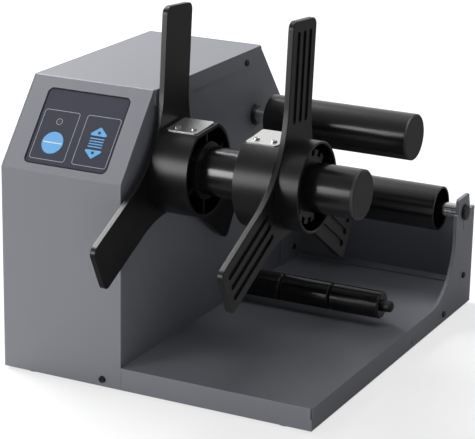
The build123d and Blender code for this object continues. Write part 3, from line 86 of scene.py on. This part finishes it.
# node helpers
def newMaterial(name):
    mat = bpy.data.materials.new(name)
    mat.use_nodes = True
    mat.node_tree.nodes.clear()
    out = mat.node_tree.nodes.new("ShaderNodeOutputMaterial")
    shader = mat.node_tree.nodes.new("ShaderNodeBsdfPrincipled")
    mat.node_tree.links.new(shader.outputs["BSDF"], out.inputs["Surface"])
    return mat, mat.node_tree, shader


def addNode(tree, kind, **settings):
    node = tree.nodes.new(kind)
    for key, value in settings.items():
        if hasattr(node, key):
            setattr(node, key, value)
        else:
            node.inputs[key.replace("_", " ")].default_value = value
    return node


def wire(tree, fromSocket, toSocket):
    tree.links.new(fromSocket, toSocket)


def newGroup(name, inputs, outputs):
    group = bpy.data.node_groups.new(name, "ShaderNodeTree")
    for label, kind, value in inputs:
        socket = group.interface.new_socket(label, in_out="INPUT", socket_type=kind)
        socket.default_value = value
    for label, kind in outputs:
        group.interface.new_socket(label, in_out="OUTPUT", socket_type=kind)
    start = group.nodes.new("NodeGroupInput")
    end = group.nodes.new("NodeGroupOutput")
    return group, start, end


def useGroup(tree, group, **values):
    node = tree.nodes.new("ShaderNodeGroup")
    node.node_tree = group
    for key, value in values.items():
        node.inputs[key].default_value = value
    return node


# shared surface effects
def makeGrainGroup():
    # even, fine relief from noise on Object coordinates
    group, start, end = newGroup(
        "surfaceGrain",
        [("Scale", "NodeSocketFloat", 900.0), ("Depth", "NodeSocketFloat", 0.4), ("Distance", "NodeSocketFloat", 0.0002)],
        [("Normal", "NodeSocketVector"), ("Speckle", "NodeSocketFloat")],
    )
    coord = group.nodes.new("ShaderNodeTexCoord")
    fine = addNode(group, "ShaderNodeTexNoise", Detail=3.0, Roughness=0.6)
    bump = group.nodes.new("ShaderNodeBump")
    wire(group, coord.outputs["Object"], fine.inputs["Vector"])
    wire(group, start.outputs["Scale"], fine.inputs["Scale"])
    wire(group, fine.outputs["Fac"], bump.inputs["Height"])
    wire(group, start.outputs["Depth"], bump.inputs["Strength"])
    wire(group, start.outputs["Distance"], bump.inputs["Distance"])
    wire(group, bump.outputs["Normal"], end.inputs["Normal"])
    wire(group, fine.outputs["Fac"], end.inputs["Speckle"])
    return group


def makeEdgeGroup():
    # mask along rounded edges, from the rim attribute that roundedCopy writes, broken up a little
    group, start, end = newGroup(
        "edgeRub",
        [("Breakup", "NodeSocketFloat", 180.0)],
        [("Mask", "NodeSocketFloat")],
    )
    rim = addNode(group, "ShaderNodeAttribute", attribute_name="rim")
    coord = group.nodes.new("ShaderNodeTexCoord")
    noise = addNode(group, "ShaderNodeTexNoise", Detail=4.0)
    mix = addNode(group, "ShaderNodeMath", operation="MULTIPLY")
    wire(group, coord.outputs["Object"], noise.inputs["Vector"])
    wire(group, start.outputs["Breakup"], noise.inputs["Scale"])
    wire(group, rim.outputs["Fac"], mix.inputs[0])
    wire(group, noise.outputs["Fac"], mix.inputs[1])
    wire(group, mix.outputs["Value"], end.inputs["Mask"])
    return group


def makeTurnedGroup():
    # rings left by turning, about an axis parallel to X through a given centre
    group, start, end = newGroup(
        "turnedRings",
        [("Centre Y", "NodeSocketFloat", 0.0), ("Centre Z", "NodeSocketFloat", 0.0), ("Pitch", "NodeSocketFloat", 2500.0)],
        [("Normal", "NodeSocketVector"), ("Rings", "NodeSocketFloat")],
    )
    coord = group.nodes.new("ShaderNodeTexCoord")
    wave = addNode(group, "ShaderNodeTexNoise", noise_dimensions="1D", Detail=2.0)
    split = group.nodes.new("ShaderNodeSeparateXYZ")
    bump = addNode(group, "ShaderNodeBump", Strength=0.15, Distance=0.0001)
    total = addNode(group, "ShaderNodeMath", operation="ADD")
    dy = addNode(group, "ShaderNodeMath", operation="SUBTRACT")
    dz = addNode(group, "ShaderNodeMath", operation="SUBTRACT")
    join = group.nodes.new("ShaderNodeCombineXYZ")
    length = addNode(group, "ShaderNodeVectorMath", operation="LENGTH")
    wire(group, coord.outputs["Object"], split.inputs["Vector"])
    wire(group, split.outputs["Y"], dy.inputs[0])
    wire(group, start.outputs["Centre Y"], dy.inputs[1])
    wire(group, split.outputs["Z"], dz.inputs[0])
    wire(group, start.outputs["Centre Z"], dz.inputs[1])
    wire(group, dy.outputs["Value"], join.inputs["Y"])
    wire(group, dz.outputs["Value"], join.inputs["Z"])
    wire(group, join.outputs["Vector"], length.inputs[0])
    wire(group, length.outputs["Value"], total.inputs[0])
    wire(group, split.outputs["X"], total.inputs[1])
    wire(group, total.outputs["Value"], wave.inputs["W"])
    wire(group, start.outputs["Pitch"], wave.inputs["Scale"])
    wire(group, wave.outputs["Fac"], bump.inputs["Height"])
    wire(group, bump.outputs["Normal"], end.inputs["Normal"])
    wire(group, wave.outputs["Fac"], end.inputs["Rings"])
    return group


grainGroup = makeGrainGroup()
edgeGroup = makeEdgeGroup()
turnedGroup = makeTurnedGroup()


def mixColours(tree, mask, low, high):
    mix = addNode(tree, "ShaderNodeMix", data_type="RGBA")
    mix.inputs["A"].default_value = (*low, 1)
    mix.inputs["B"].default_value = (*high, 1)
    wire(tree, mask, mix.inputs["Factor"])
    return mix.outputs["Result"]


def finish(name, look):
    mat, tree, shader = newMaterial(name)
    grain = useGroup(tree, grainGroup, Scale=look["grain"], Depth=look["depth"], Distance=look["relief"])
    tone = addNode(tree, "ShaderNodeMapRange", From_Min=0.3, From_Max=0.7)
    wire(tree, grain.outputs["Speckle"], tone.inputs["Value"])
    base = mixColours(tree, tone.outputs["Result"], look["dark"], look["light"])
    edges = useGroup(tree, edgeGroup)
    worn = addNode(tree, "ShaderNodeMix", data_type="RGBA")
    worn.inputs["B"].default_value = (*look["edge"], 1)
    wire(tree, edges.outputs["Mask"], worn.inputs["Factor"])
    wire(tree, base, worn.inputs["A"])
    wire(tree, worn.outputs["Result"], shader.inputs["Base Color"])
    rough = addNode(tree, "ShaderNodeMapRange", To_Min=look["rough"][0], To_Max=look["rough"][1])
    wire(tree, grain.outputs["Speckle"], rough.inputs["Value"])
    wire(tree, rough.outputs["Result"], shader.inputs["Roughness"])
    wire(tree, grain.outputs["Normal"], shader.inputs["Normal"])
    shader.inputs["Metallic"].default_value = look.get("metal", 0.0)
    shader.inputs["Specular IOR Level"].default_value = look.get("gloss", 0.5)
    shader.inputs["Coat Weight"].default_value = look.get("coat", 0.0)
    return mat


finishes = {
    "greyPaint": {
        "dark": (0.172, 0.179, 0.199), "light": (0.190, 0.197, 0.218), "edge": (0.34, 0.35, 0.37),
        "rough": (0.38, 0.5), "grain": 1600.0, "depth": 0.3, "relief": 0.00012, "gloss": 0.35,
    },
    # painted shade: near black, so the rear panel's edge along the rear slope shows as a dark line, the shade at that
    # edge beside the mounting plate
    "edgeShadeBlack": {
        "dark": (0.010, 0.010, 0.011), "light": (0.016, 0.016, 0.017), "edge": (0.05, 0.05, 0.05),
        "rough": (0.4, 0.55), "grain": 1600.0, "depth": 0.3, "relief": 0.00012, "gloss": 0.3,
    },
    "blackMoulding": {
        "dark": (0.0055, 0.0055, 0.006), "light": (0.008, 0.008, 0.0085), "edge": (0.035, 0.035, 0.037),
        "rough": (0.26, 0.38), "grain": 900.0, "depth": 0.12, "relief": 0.0001, "gloss": 0.45,
    },
    "blackTube": {
        "dark": (0.0055, 0.0055, 0.006), "light": (0.0075, 0.0075, 0.008), "edge": (0.05, 0.05, 0.052),
        "rough": (0.18, 0.24), "grain": 1400.0, "depth": 0.06, "relief": 0.0001, "gloss": 0.9,
    },
    "glossSleeve": {
        "dark": (0.004, 0.004, 0.0045), "light": (0.006, 0.006, 0.0065), "edge": (0.04, 0.04, 0.042),
        "rough": (0.14, 0.2), "grain": 1200.0, "depth": 0.05, "relief": 0.0001, "gloss": 0.4,
    },
    "greyMoulding": {
        "dark": (0.026, 0.026, 0.029), "light": (0.034, 0.034, 0.037), "edge": (0.10, 0.10, 0.105),
        "rough": (0.4, 0.52), "grain": 900.0, "depth": 0.15, "relief": 0.0001, "gloss": 0.3,
    },
    "rubber": {
        "dark": (0.014, 0.014, 0.014), "light": (0.022, 0.022, 0.022), "edge": (0.03, 0.03, 0.03),
        "rough": (0.7, 0.85), "grain": 700.0, "depth": 0.3, "relief": 0.0002,
    },
    "blackSteel": {
        "dark": (0.010, 0.010, 0.010), "light": (0.016, 0.016, 0.016), "edge": (0.12, 0.12, 0.12),
        "rough": (0.25, 0.38), "grain": 1200.0, "depth": 0.1, "relief": 0.0001, "metal": 0.3,
    },
    "darkSteel": {
        "dark": (0.05, 0.05, 0.05), "light": (0.08, 0.08, 0.08), "edge": (0.2, 0.2, 0.2),
        "rough": (0.42, 0.55), "grain": 900.0, "depth": 0.15, "relief": 0.0001, "metal": 1.0,
    },
    "bareAluminium": {
        "dark": (0.60, 0.61, 0.62), "light": (0.68, 0.69, 0.70), "edge": (0.8, 0.8, 0.8),
        "rough": (0.3, 0.45), "grain": 1000.0, "depth": 0.15, "relief": 0.0001, "metal": 1.0,
    },
    "circuitLaminate": {
        "dark": (0.01, 0.10, 0.045), "light": (0.015, 0.13, 0.06), "edge": (0.2, 0.22, 0.1),
        "rough": (0.35, 0.5), "grain": 500.0, "depth": 0.1, "relief": 0.0001,
    },
    "overlayFilm": {
        "dark": (0.024, 0.026, 0.042), "light": (0.029, 0.031, 0.049), "edge": (0.012, 0.012, 0.016),
        "rough": (0.4, 0.5), "grain": 2200.0, "depth": 0.12, "relief": 0.00008, "gloss": 0.25,
    },
    "blueKey": {
        "dark": (0.11, 0.32, 0.60), "light": (0.14, 0.38, 0.68), "edge": (0.24, 0.50, 0.78),
        "rough": (0.35, 0.5), "grain": 2200.0, "depth": 0.12, "relief": 0.00008, "gloss": 0.3,
    },
    "whiteInk": {
        "dark": (0.60, 0.61, 0.63), "light": (0.72, 0.73, 0.75), "edge": (0.75, 0.75, 0.75),
        "rough": (0.45, 0.6), "grain": 2600.0, "depth": 0.1, "relief": 0.00005, "gloss": 0.3,
    },
    "greyInk": {
        "dark": (0.30, 0.31, 0.36), "light": (0.38, 0.39, 0.44), "edge": (0.4, 0.4, 0.45),
        "rough": (0.45, 0.6), "grain": 2600.0, "depth": 0.1, "relief": 0.00005, "gloss": 0.3,
    },
    "lampLens": {
        "dark": (0.05, 0.052, 0.055), "light": (0.08, 0.082, 0.085), "edge": (0.2, 0.2, 0.2),
        "rough": (0.12, 0.2), "grain": 900.0, "depth": 0.05, "relief": 0.00005,
    },
    "brightBrass": {
        "dark": (0.55, 0.40, 0.16), "light": (0.62, 0.46, 0.2), "edge": (0.7, 0.55, 0.3),
        "rough": (0.25, 0.4), "grain": 900.0, "depth": 0.1, "relief": 0.0001, "metal": 1.0,
    },
}


def turnedMetal(name, look):
    mat, tree, shader = newMaterial(name)
    rings = useGroup(tree, turnedGroup, **{"Centre Y": look["y"], "Centre Z": look["z"]})
    wire(tree, mixColours(tree, rings.outputs["Rings"], look["dark"], look["light"]), shader.inputs["Base Color"])
    rough = addNode(tree, "ShaderNodeMapRange", To_Min=look["rough"][0], To_Max=look["rough"][1])
    wire(tree, rings.outputs["Rings"], rough.inputs["Value"])
    wire(tree, rough.outputs["Result"], shader.inputs["Roughness"])
    wire(tree, rings.outputs["Normal"], shader.inputs["Normal"])
    shader.inputs["Metallic"].default_value = 1.0
    return mat


turned = {
    "upperChrome": {"y": 0.157, "z": 0.004, "dark": (0.84, 0.84, 0.86), "light": (0.95, 0.95, 0.96), "rough": (0.08, 0.16)},
    "lowerChrome": {"y": 0.2345, "z": -0.0777, "dark": (0.84, 0.84, 0.86), "light": (0.95, 0.95, 0.96), "rough": (0.08, 0.16)},
    "brightSteel": {"y": 0.0, "z": 0.0, "dark": (0.50, 0.50, 0.52), "light": (0.66, 0.66, 0.68), "rough": (0.18, 0.32)},
    "springSteel": {"y": 0.0, "z": 0.0, "dark": (0.74, 0.74, 0.73), "light": (0.84, 0.84, 0.82), "rough": (0.24, 0.36)},
}

materials = {name: finish(name, look) for name, look in finishes.items()}
materials.update({name: turnedMetal(name, look) for name, look in turned.items()})
print("materials made:", len(materials))


# CAD nodes: finishes and rounded edges
nodeFinish = {
    "greyPaint": ["base_tray", "mounting_plate", "cabinet_cover", "left_side_panel", "rear_frame", "right_bracket"],
    # the rear panel is near black as painted shade for its shaded edge along the rear slope
    "edgeShadeBlack": ["rear_panel"],
    "blackMoulding": [
        "inner_flange", "outer_flange", "lock_ring", "power_inlet", "switch_body", "switch_rocker", "stop_switch",
        "upper_roller_bush", "lower_axle_caps",
    ],
    "blackTube": ["spindle_tube", "upper_roller_tube", "lower_roller_tube"],
    "glossSleeve": ["sleeve_inner", "sleeve_middle", "sleeve_outer"],
    "greyMoulding": ["spindle_end_cap", "upper_roller_cap"],
    "darkSteel": ["tension_bar", "tension_arm"],
    "rubber": ["rubber_feet", "drive_belt"],
    "blackSteel": ["machine_screws"],
    "bareAluminium": ["panel_carrier", "board_components", "bearing_housing", "motor_bracket", "spindle_pulley", "motor_pulley"],
    "circuitLaminate": ["panel_board", "control_board"],
    "overlayFilm": ["panel_overlay"],
    "blueKey": ["start_stop_key", "up_arrow_key", "down_arrow_key"],
    "lampLens": ["status_lamp"],
    "brightBrass": ["board_posts"],
    "upperChrome": ["upper_roller_axle"],
    "lowerChrome": ["lower_roller_axle"],
    "brightSteel": [
        "spindle_bearings", "gear_motor", "upper_axle_nut", "axle_rings", "bar_pivot_pin", "spring_post", "spindle_shaft",
        "inner_plate_screws", "outer_plate_screws", "motor_shaft", "upper_roller_bearings", "lower_roller_bearings",
    ],
    "springSteel": ["inner_spring_plate", "outer_spring_plate", "arm_spring"],
}
edgeRounding = {
    "base_tray": 0.8, "mounting_plate": 0.35, "cabinet_cover": 0.45, "left_side_panel": 0.45, "rear_panel": 0.45,
    "rear_frame": 0.4, "right_bracket": 0.5, "inner_flange": 0.8, "outer_flange": 0.7, "lock_ring": 0.6,
    "spindle_tube": 0.3, "upper_roller_tube": 0.4, "lower_roller_tube": 0.4, "upper_roller_bush": 0.4,
    "lower_axle_caps": 0.4, "sleeve_inner": 0.4, "sleeve_middle": 0.4, "sleeve_outer": 0.4,
    "spindle_end_cap": 0.3, "upper_roller_cap": 0.3, "panel_overlay": 0.15, "switch_body": 0.4, "switch_rocker": 0.4,
    "power_inlet": 0.3, "inner_spring_plate": 0.2, "outer_spring_plate": 0.2, "machine_screws": 0.15,
    "inner_plate_screws": 0.15, "outer_plate_screws": 0.15, "start_stop_key": 0.15, "rubber_feet": 0.3,
}
roundingSteps = 2
edgeSlack = 0.1 * mm
foldAngle = math.radians(28)
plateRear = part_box("mounting_plate")[1].y
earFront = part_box("rear_frame")[0].y
earLap = 1.2 * mm            # the ear's shown edge laps the plate, so no light comes through between them


def roundedCopy(name, width):
    # a copy of a node with its sharp edges rounded; the rounding's faces have the attribute rim
    bm = bmesh.new()
    bm.from_mesh(nodes[name].data)
    rim = bm.faces.layers.float.new("rim")
    if name == "rear_frame":
        for vert in bm.verts:
            if vert.co.y < earFront + edgeSlack:
                vert.co.y = plateRear - earLap
    bmesh.ops.remove_doubles(bm, verts=bm.verts, dist=2e-6)
    bmesh.ops.dissolve_limit(
        bm, angle_limit=math.radians(0.6), use_dissolve_boundaries=False,
        verts=bm.verts, edges=bm.edges, delimit={"NORMAL"},
    )
    sharp = [e for e in bm.edges if len(e.link_faces) == 2 and e.calc_face_angle() > foldAngle]
    rounding = bmesh.ops.bevel(
        bm, geom=sharp, offset=width * mm, offset_type="OFFSET", segments=roundingSteps,
        profile=0.5, affect="EDGES", clamp_overlap=True,
    )
    for face in rounding["faces"]:
        face[rim] = 1.0
    mesh = bpy.data.meshes.new(name + "Rounded")
    bm.to_mesh(mesh)
    bm.free()
    mesh.polygons.foreach_set("use_smooth", [True] * len(mesh.polygons))
    mesh.set_sharp_from_angle(angle=math.radians(35))
    piece = bpy.data.objects.new(name + "Rounded", mesh)
    bpy.context.scene.collection.objects.link(piece)
    # flat faces keep their own normals beside the rounding
    flatten = piece.modifiers.new("flatten", "WEIGHTED_NORMAL")
    flatten.keep_sharp = True
    return piece


bodyOf = {n: body for body, members in frame["record"]["behaviour"]["bodies"].items() for n in members}
for finishName, members in nodeFinish.items():
    for name in members:
        node = nodes[name]
        node.data.materials.clear()
        node.data.materials.append(materials[finishName])
        if name in edgeRounding:
            piece = roundedCopy(name, edgeRounding[name])
            piece.data.materials.clear()
            piece.data.materials.append(materials[finishName])
            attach(piece, bodyOf[name])
            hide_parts(name)
print("nodes finished, rounded:", len(edgeRounding))


# printed signs on the control panel, in mm: x across, s up the slope from its lower bend
slope = {"run": 50.0, "rise": 62.5, "footY": -67.5, "footZ": -0.5}
slopeLength = math.hypot(slope["run"], slope["rise"])
upSlope = Vector((0, slope["run"], slope["rise"])) / slopeLength
offSlope = Vector((0, -slope["rise"], slope["run"])) / slopeLength
panelFoot = Vector((0, slope["footY"], slope["footZ"]))
signs = {
    "filmFace": -0.4, "keyFace": -0.3, "inkDepth": 0.04,
    "film": (-96.4, -23.8, 6.4, 70.3), "filmCorner": 4.0, "border": 0.9,
    "startBox": (-93.3, -62.0, 10.5, 52.4), "arrowBox": (-55.5, -25.6, 10.5, 52.4), "boxCorner": 2.2, "line": 0.4,
    "lampAt": (-77.8, 43.1), "lampRing": (2.3, 2.7),
    "keyAt": (-77.4, 25.2), "keyBar": (8.2, 0.4),
    "upDot": (-40.7, 38.9), "downDot": (-40.7, 22.1), "dot": 1.3,
}
stripes = {"count": 4, "first": 27.1, "pitch": 2.25, "width": 0.9, "left": -46.8, "right": -34.6}


def onPanel(x, s, w):
    return (panelFoot + Vector((x, 0, 0)) + upSlope * s + offSlope * w) * mm


def circlePoints(centre, radius, count=48):
    turns = [2 * math.pi * k / count for k in range(count)]
    return [(centre[0] + radius * math.cos(t), centre[1] + radius * math.sin(t)) for t in turns]


def boxPoints(box, radius=0.0, steps=6):
    # a box's outline with round corners, from its left, right, low and high sides
    left, right, low, high = box
    corners = ((right, high), (left, high), (left, low), (right, low))
    ways = ((-1, -1), (1, -1), (1, 1), (-1, 1))
    points = []
    for quarter, ((x, s), (wayX, wayS)) in enumerate(zip(corners, ways)):
        for step in range(steps + 1):
            turn = math.pi / 2 * (quarter + step / steps)
            points.append((x + radius * (wayX + math.cos(turn)), s + radius * (wayS + math.sin(turn))))
    return points


def inkSheet(bm, outline, face, hole=None):
    # a raised film with an outline in panel millimetres, and a hole with as many points where one is given
    levels = (face, face + signs["inkDepth"])
    outer = [[bm.verts.new(onPanel(x, s, w)) for x, s in outline] for w in levels]
    inner = [[bm.verts.new(onPanel(x, s, w)) for x, s in hole] for w in levels] if hole else None
    count = len(outline)
    if not hole:
        bm.faces.new(outer[1])
        bm.faces.new(outer[0][::-1])
    for k in range(count):
        n = (k + 1) % count
        bm.faces.new((outer[0][k], outer[0][n], outer[1][n], outer[1][k]))
        if hole:
            bm.faces.new((inner[0][n], inner[0][k], inner[1][k], inner[1][n]))
            bm.faces.new((outer[1][k], outer[1][n], inner[1][n], inner[1][k]))
            bm.faces.new((outer[0][n], outer[0][k], inner[0][k], inner[0][n]))


def inkPiece(name, finishName, node, sheets):
    bm = bmesh.new()
    for outline, face, hole in sheets:
        inkSheet(bm, outline, face, hole)
    bmesh.ops.recalc_face_normals(bm, faces=bm.faces)
    mesh = bpy.data.meshes.new(name)
    bm.to_mesh(mesh)
    bm.free()
    mesh.materials.append(materials[finishName])
    piece = bpy.data.objects.new(name, mesh)
    bpy.context.scene.collection.objects.link(piece)
    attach(piece, bodyOf[node])


def framePoints(box, radius, line):
    left, right, low, high = box
    within = (left + line, right - line, low + line, high - line)
    return boxPoints(box, radius), signs["filmFace"], boxPoints(within, radius - line)


def ringPoints(centre, radii):
    return circlePoints(centre, radii[1]), signs["filmFace"], circlePoints(centre, radii[0])


barX, barS = signs["keyAt"]
barHalf, barRise = signs["keyBar"]
barBox = (barX - barHalf, barX + barHalf, barS - barRise, barS + barRise)
inkPiece("panelBorder", "blackMoulding", "panel_overlay", [
    framePoints(signs["film"], signs["filmCorner"], signs["border"]),
])
inkPiece("panelLines", "greyInk", "panel_overlay", [
    framePoints(signs["startBox"], signs["boxCorner"], signs["line"]),
    framePoints(signs["arrowBox"], signs["boxCorner"], signs["line"]),
    ringPoints(signs["lampAt"], signs["lampRing"]),
])
inkPiece("startSign", "whiteInk", "start_stop_key", [
    (boxPoints(barBox, barRise * 0.9), signs["keyFace"], None),
])
for side, node in (("up", "up_arrow_key"), ("down", "down_arrow_key")):
    spot = circlePoints(signs[side + "Dot"], signs["dot"], 24)
    inkPiece(side + "ArrowDot", "lampLens", node, [(spot, signs["keyFace"], None)])
print("panel signs made")


def makeStripeTree():
    # a row of equal bars: one box instanced on a line of points, realised, with its material
    tree = bpy.data.node_groups.new("stripeRow", "GeometryNodeTree")
    tree.interface.new_socket("Geometry", in_out="OUTPUT", socket_type="NodeSocketGeometry")
    tree.interface.new_socket("Count", in_out="INPUT", socket_type="NodeSocketInt")
    for label in ("Step", "Start", "Size"):
        tree.interface.new_socket(label, in_out="INPUT", socket_type="NodeSocketVector")
    tree.interface.new_socket("Lean", in_out="INPUT", socket_type="NodeSocketVector")
    tree.interface.new_socket("Material", in_out="INPUT", socket_type="NodeSocketMaterial")
    start = tree.nodes.new("NodeGroupInput")
    end = tree.nodes.new("NodeGroupOutput")
    row = tree.nodes.new("GeometryNodeMeshLine")
    bar = tree.nodes.new("GeometryNodeMeshCube")
    place = tree.nodes.new("GeometryNodeInstanceOnPoints")
    turn = tree.nodes.new("FunctionNodeEulerToRotation")
    real = tree.nodes.new("GeometryNodeRealizeInstances")
    paint = tree.nodes.new("GeometryNodeSetMaterial")
    wire(tree, start.outputs["Count"], row.inputs["Count"])
    wire(tree, start.outputs["Start"], row.inputs["Start Location"])
    wire(tree, start.outputs["Step"], row.inputs["Offset"])
    wire(tree, start.outputs["Size"], bar.inputs["Size"])
    wire(tree, start.outputs["Lean"], turn.inputs["Euler"])
    wire(tree, row.outputs["Mesh"], place.inputs["Points"])
    wire(tree, bar.outputs["Mesh"], place.inputs["Instance"])
    wire(tree, turn.outputs["Rotation"], place.inputs["Rotation"])
    wire(tree, place.outputs["Instances"], real.inputs["Geometry"])
    wire(tree, real.outputs["Geometry"], paint.inputs["Geometry"])
    wire(tree, start.outputs["Material"], paint.inputs["Material"])
    wire(tree, paint.outputs["Geometry"], end.inputs["Geometry"])
    return tree


def growPiece(name, tree, values):
    # runs a Geometry Nodes tree and returns its result as a plain mesh piece
    holder = bpy.data.objects.new(name + "Holder", bpy.data.meshes.new(name + "Holder"))
    bpy.context.scene.collection.objects.link(holder)
    grow = holder.modifiers.new("grow", "NODES")
    grow.node_group = tree
    for item in tree.interface.items_tree:
        if item.in_out == "INPUT":
            grow[item.identifier] = values[item.name]
    view = holder.evaluated_get(bpy.context.evaluated_depsgraph_get())
    mesh = bpy.data.meshes.new_from_object(view)
    bpy.data.objects.remove(holder)
    piece = bpy.data.objects.new(name, mesh)
    bpy.context.scene.collection.objects.link(piece)
    return piece


def makeStripes(s):
    middle = (s["left"] + s["right"]) / 2
    raised = signs["filmFace"] + signs["inkDepth"] / 2
    piece = growPiece("directionStripes", makeStripeTree(), {
        "Count": s["count"],
        "Start": onPanel(middle, s["first"], raised),
        "Step": upSlope * s["pitch"] * mm,
        "Size": Vector((s["right"] - s["left"], s["width"], signs["inkDepth"])) * mm,
        "Lean": Vector((math.atan2(slope["rise"], slope["run"]), 0, 0)),
        "Material": materials["blueKey"],
    })
    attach(piece, bodyOf["panel_overlay"])


makeStripes(stripes)
print("panel stripes made")


# floor, lamps and world
studio = {
    "floorSize": 6.0,
    "floorColour": (0.86, 0.86, 0.86),
    "floorGlow": 0.72,
    "floorInGloss": 0.2,
    "fill": 0.22,
    "glossDark": 0.16,
    "glossLight": 0.85,
    "backdropWay": (-0.5, 0.8, 0.0),
    "lamps": {
        "leftHigh": {"place": (-1.45, 0.55, 1.2), "aim": (-0.05, 0.08, 0.05), "size": (1.2, 1.2), "power": 84.0},
        "leftFront": {"place": (-1.8, -2.4, 0.5), "aim": (-0.05, 0.0, -0.05), "size": (1.4, 1.4), "power": 51.0},
        "overhead": {"place": (0.3, -0.25, 1.5), "aim": (0.08, 0.1, 0.0), "size": (0.35, 0.9), "power": 4.0},
    },
}


def makeStudio(s):
    floorMesh = bpy.data.meshes.new("floor")
    half = s["floorSize"]
    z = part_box("rubber_feet")[0].z
    floorMesh.from_pydata([(-half, -half, z), (half, -half, z), (half, half, z), (-half, half, z)], [], [(0, 1, 2, 3)])
    floor = bpy.data.objects.new("floor", floorMesh)
    bpy.context.scene.collection.objects.link(floor)
    mat, tree, shader = newMaterial("floorPaper")
    shader.inputs["Base Color"].default_value = (*s["floorColour"], 1)
    shader.inputs["Roughness"].default_value = 0.9
    out = tree.nodes["Material Output"]
    path = tree.nodes.new("ShaderNodeLightPath")
    glow = addNode(tree, "ShaderNodeEmission", Color=(1, 1, 1, 1), Strength=1.0)
    dim = addNode(tree, "ShaderNodeEmission", Color=(1, 1, 1, 1), Strength=s["floorInGloss"])
    share = addNode(tree, "ShaderNodeMath", operation="MULTIPLY")
    share.inputs[1].default_value = s["floorGlow"]
    seen = tree.nodes.new("ShaderNodeMixShader")
    whole = tree.nodes.new("ShaderNodeMixShader")
    wire(tree, path.outputs["Is Camera Ray"], share.inputs[0])
    wire(tree, share.outputs["Value"], seen.inputs["Fac"])
    wire(tree, shader.outputs["BSDF"], seen.inputs[1])
    wire(tree, glow.outputs["Emission"], seen.inputs[2])
    wire(tree, path.outputs["Is Glossy Ray"], whole.inputs["Fac"])
    wire(tree, seen.outputs["Shader"], whole.inputs[1])
    wire(tree, dim.outputs["Emission"], whole.inputs[2])
    wire(tree, whole.outputs["Shader"], out.inputs["Surface"])
    floor.data.materials.append(mat)
    world = bpy.data.worlds.new("studio")
    world.use_nodes = True
    bpy.context.scene.world = world
    tree = world.node_tree
    tree.nodes.clear()
    out = tree.nodes.new("ShaderNodeOutputWorld")
    path = tree.nodes.new("ShaderNodeLightPath")
    coord = tree.nodes.new("ShaderNodeTexCoord")
    towards = addNode(tree, "ShaderNodeVectorMath", operation="DOT_PRODUCT")
    towards.inputs[1].default_value = s["backdropWay"]
    level = addNode(tree, "ShaderNodeMapRange", To_Min=s["glossDark"], To_Max=s["glossLight"])
    soft = addNode(tree, "ShaderNodeBackground", Color=(0.95, 0.96, 1.0, 1), Strength=s["fill"])
    mirrored = addNode(tree, "ShaderNodeBackground", Color=(1, 1, 1, 1))
    white = addNode(tree, "ShaderNodeBackground", Color=(1, 1, 1, 1), Strength=1.0)
    straight = addNode(tree, "ShaderNodeMath", operation="MAXIMUM")
    inGloss = tree.nodes.new("ShaderNodeMixShader")
    inView = tree.nodes.new("ShaderNodeMixShader")
    wire(tree, coord.outputs["Generated"], towards.inputs[0])
    wire(tree, towards.outputs["Value"], level.inputs["Value"])
    wire(tree, level.outputs["Result"], mirrored.inputs["Strength"])
    wire(tree, path.outputs["Is Glossy Ray"], inGloss.inputs["Fac"])
    wire(tree, soft.outputs["Background"], inGloss.inputs[1])
    wire(tree, mirrored.outputs["Background"], inGloss.inputs[2])
    wire(tree, path.outputs["Is Camera Ray"], straight.inputs[0])
    wire(tree, path.outputs["Is Transmission Ray"], straight.inputs[1])
    wire(tree, straight.outputs["Value"], inView.inputs["Fac"])
    wire(tree, inGloss.outputs["Shader"], inView.inputs[1])
    wire(tree, white.outputs["Background"], inView.inputs[2])
    wire(tree, inView.outputs["Shader"], out.inputs["Surface"])
    for name, lamp in s["lamps"].items():
        data = bpy.data.lights.new(name, "AREA")
        data.shape = "RECTANGLE"
        data.size, data.size_y = lamp["size"]
        data.energy = lamp["power"]
        obj = bpy.data.objects.new(name, data)
        obj.location = lamp["place"]
        obj.rotation_euler = (Vector(lamp["aim"]) - Vector(lamp["place"])).to_track_quat("-Z", "Y").to_euler()
        bpy.context.scene.collection.objects.link(obj)


makeStudio(studio)
bpy.context.scene.view_settings.view_transform = "Standard"
print("studio set")
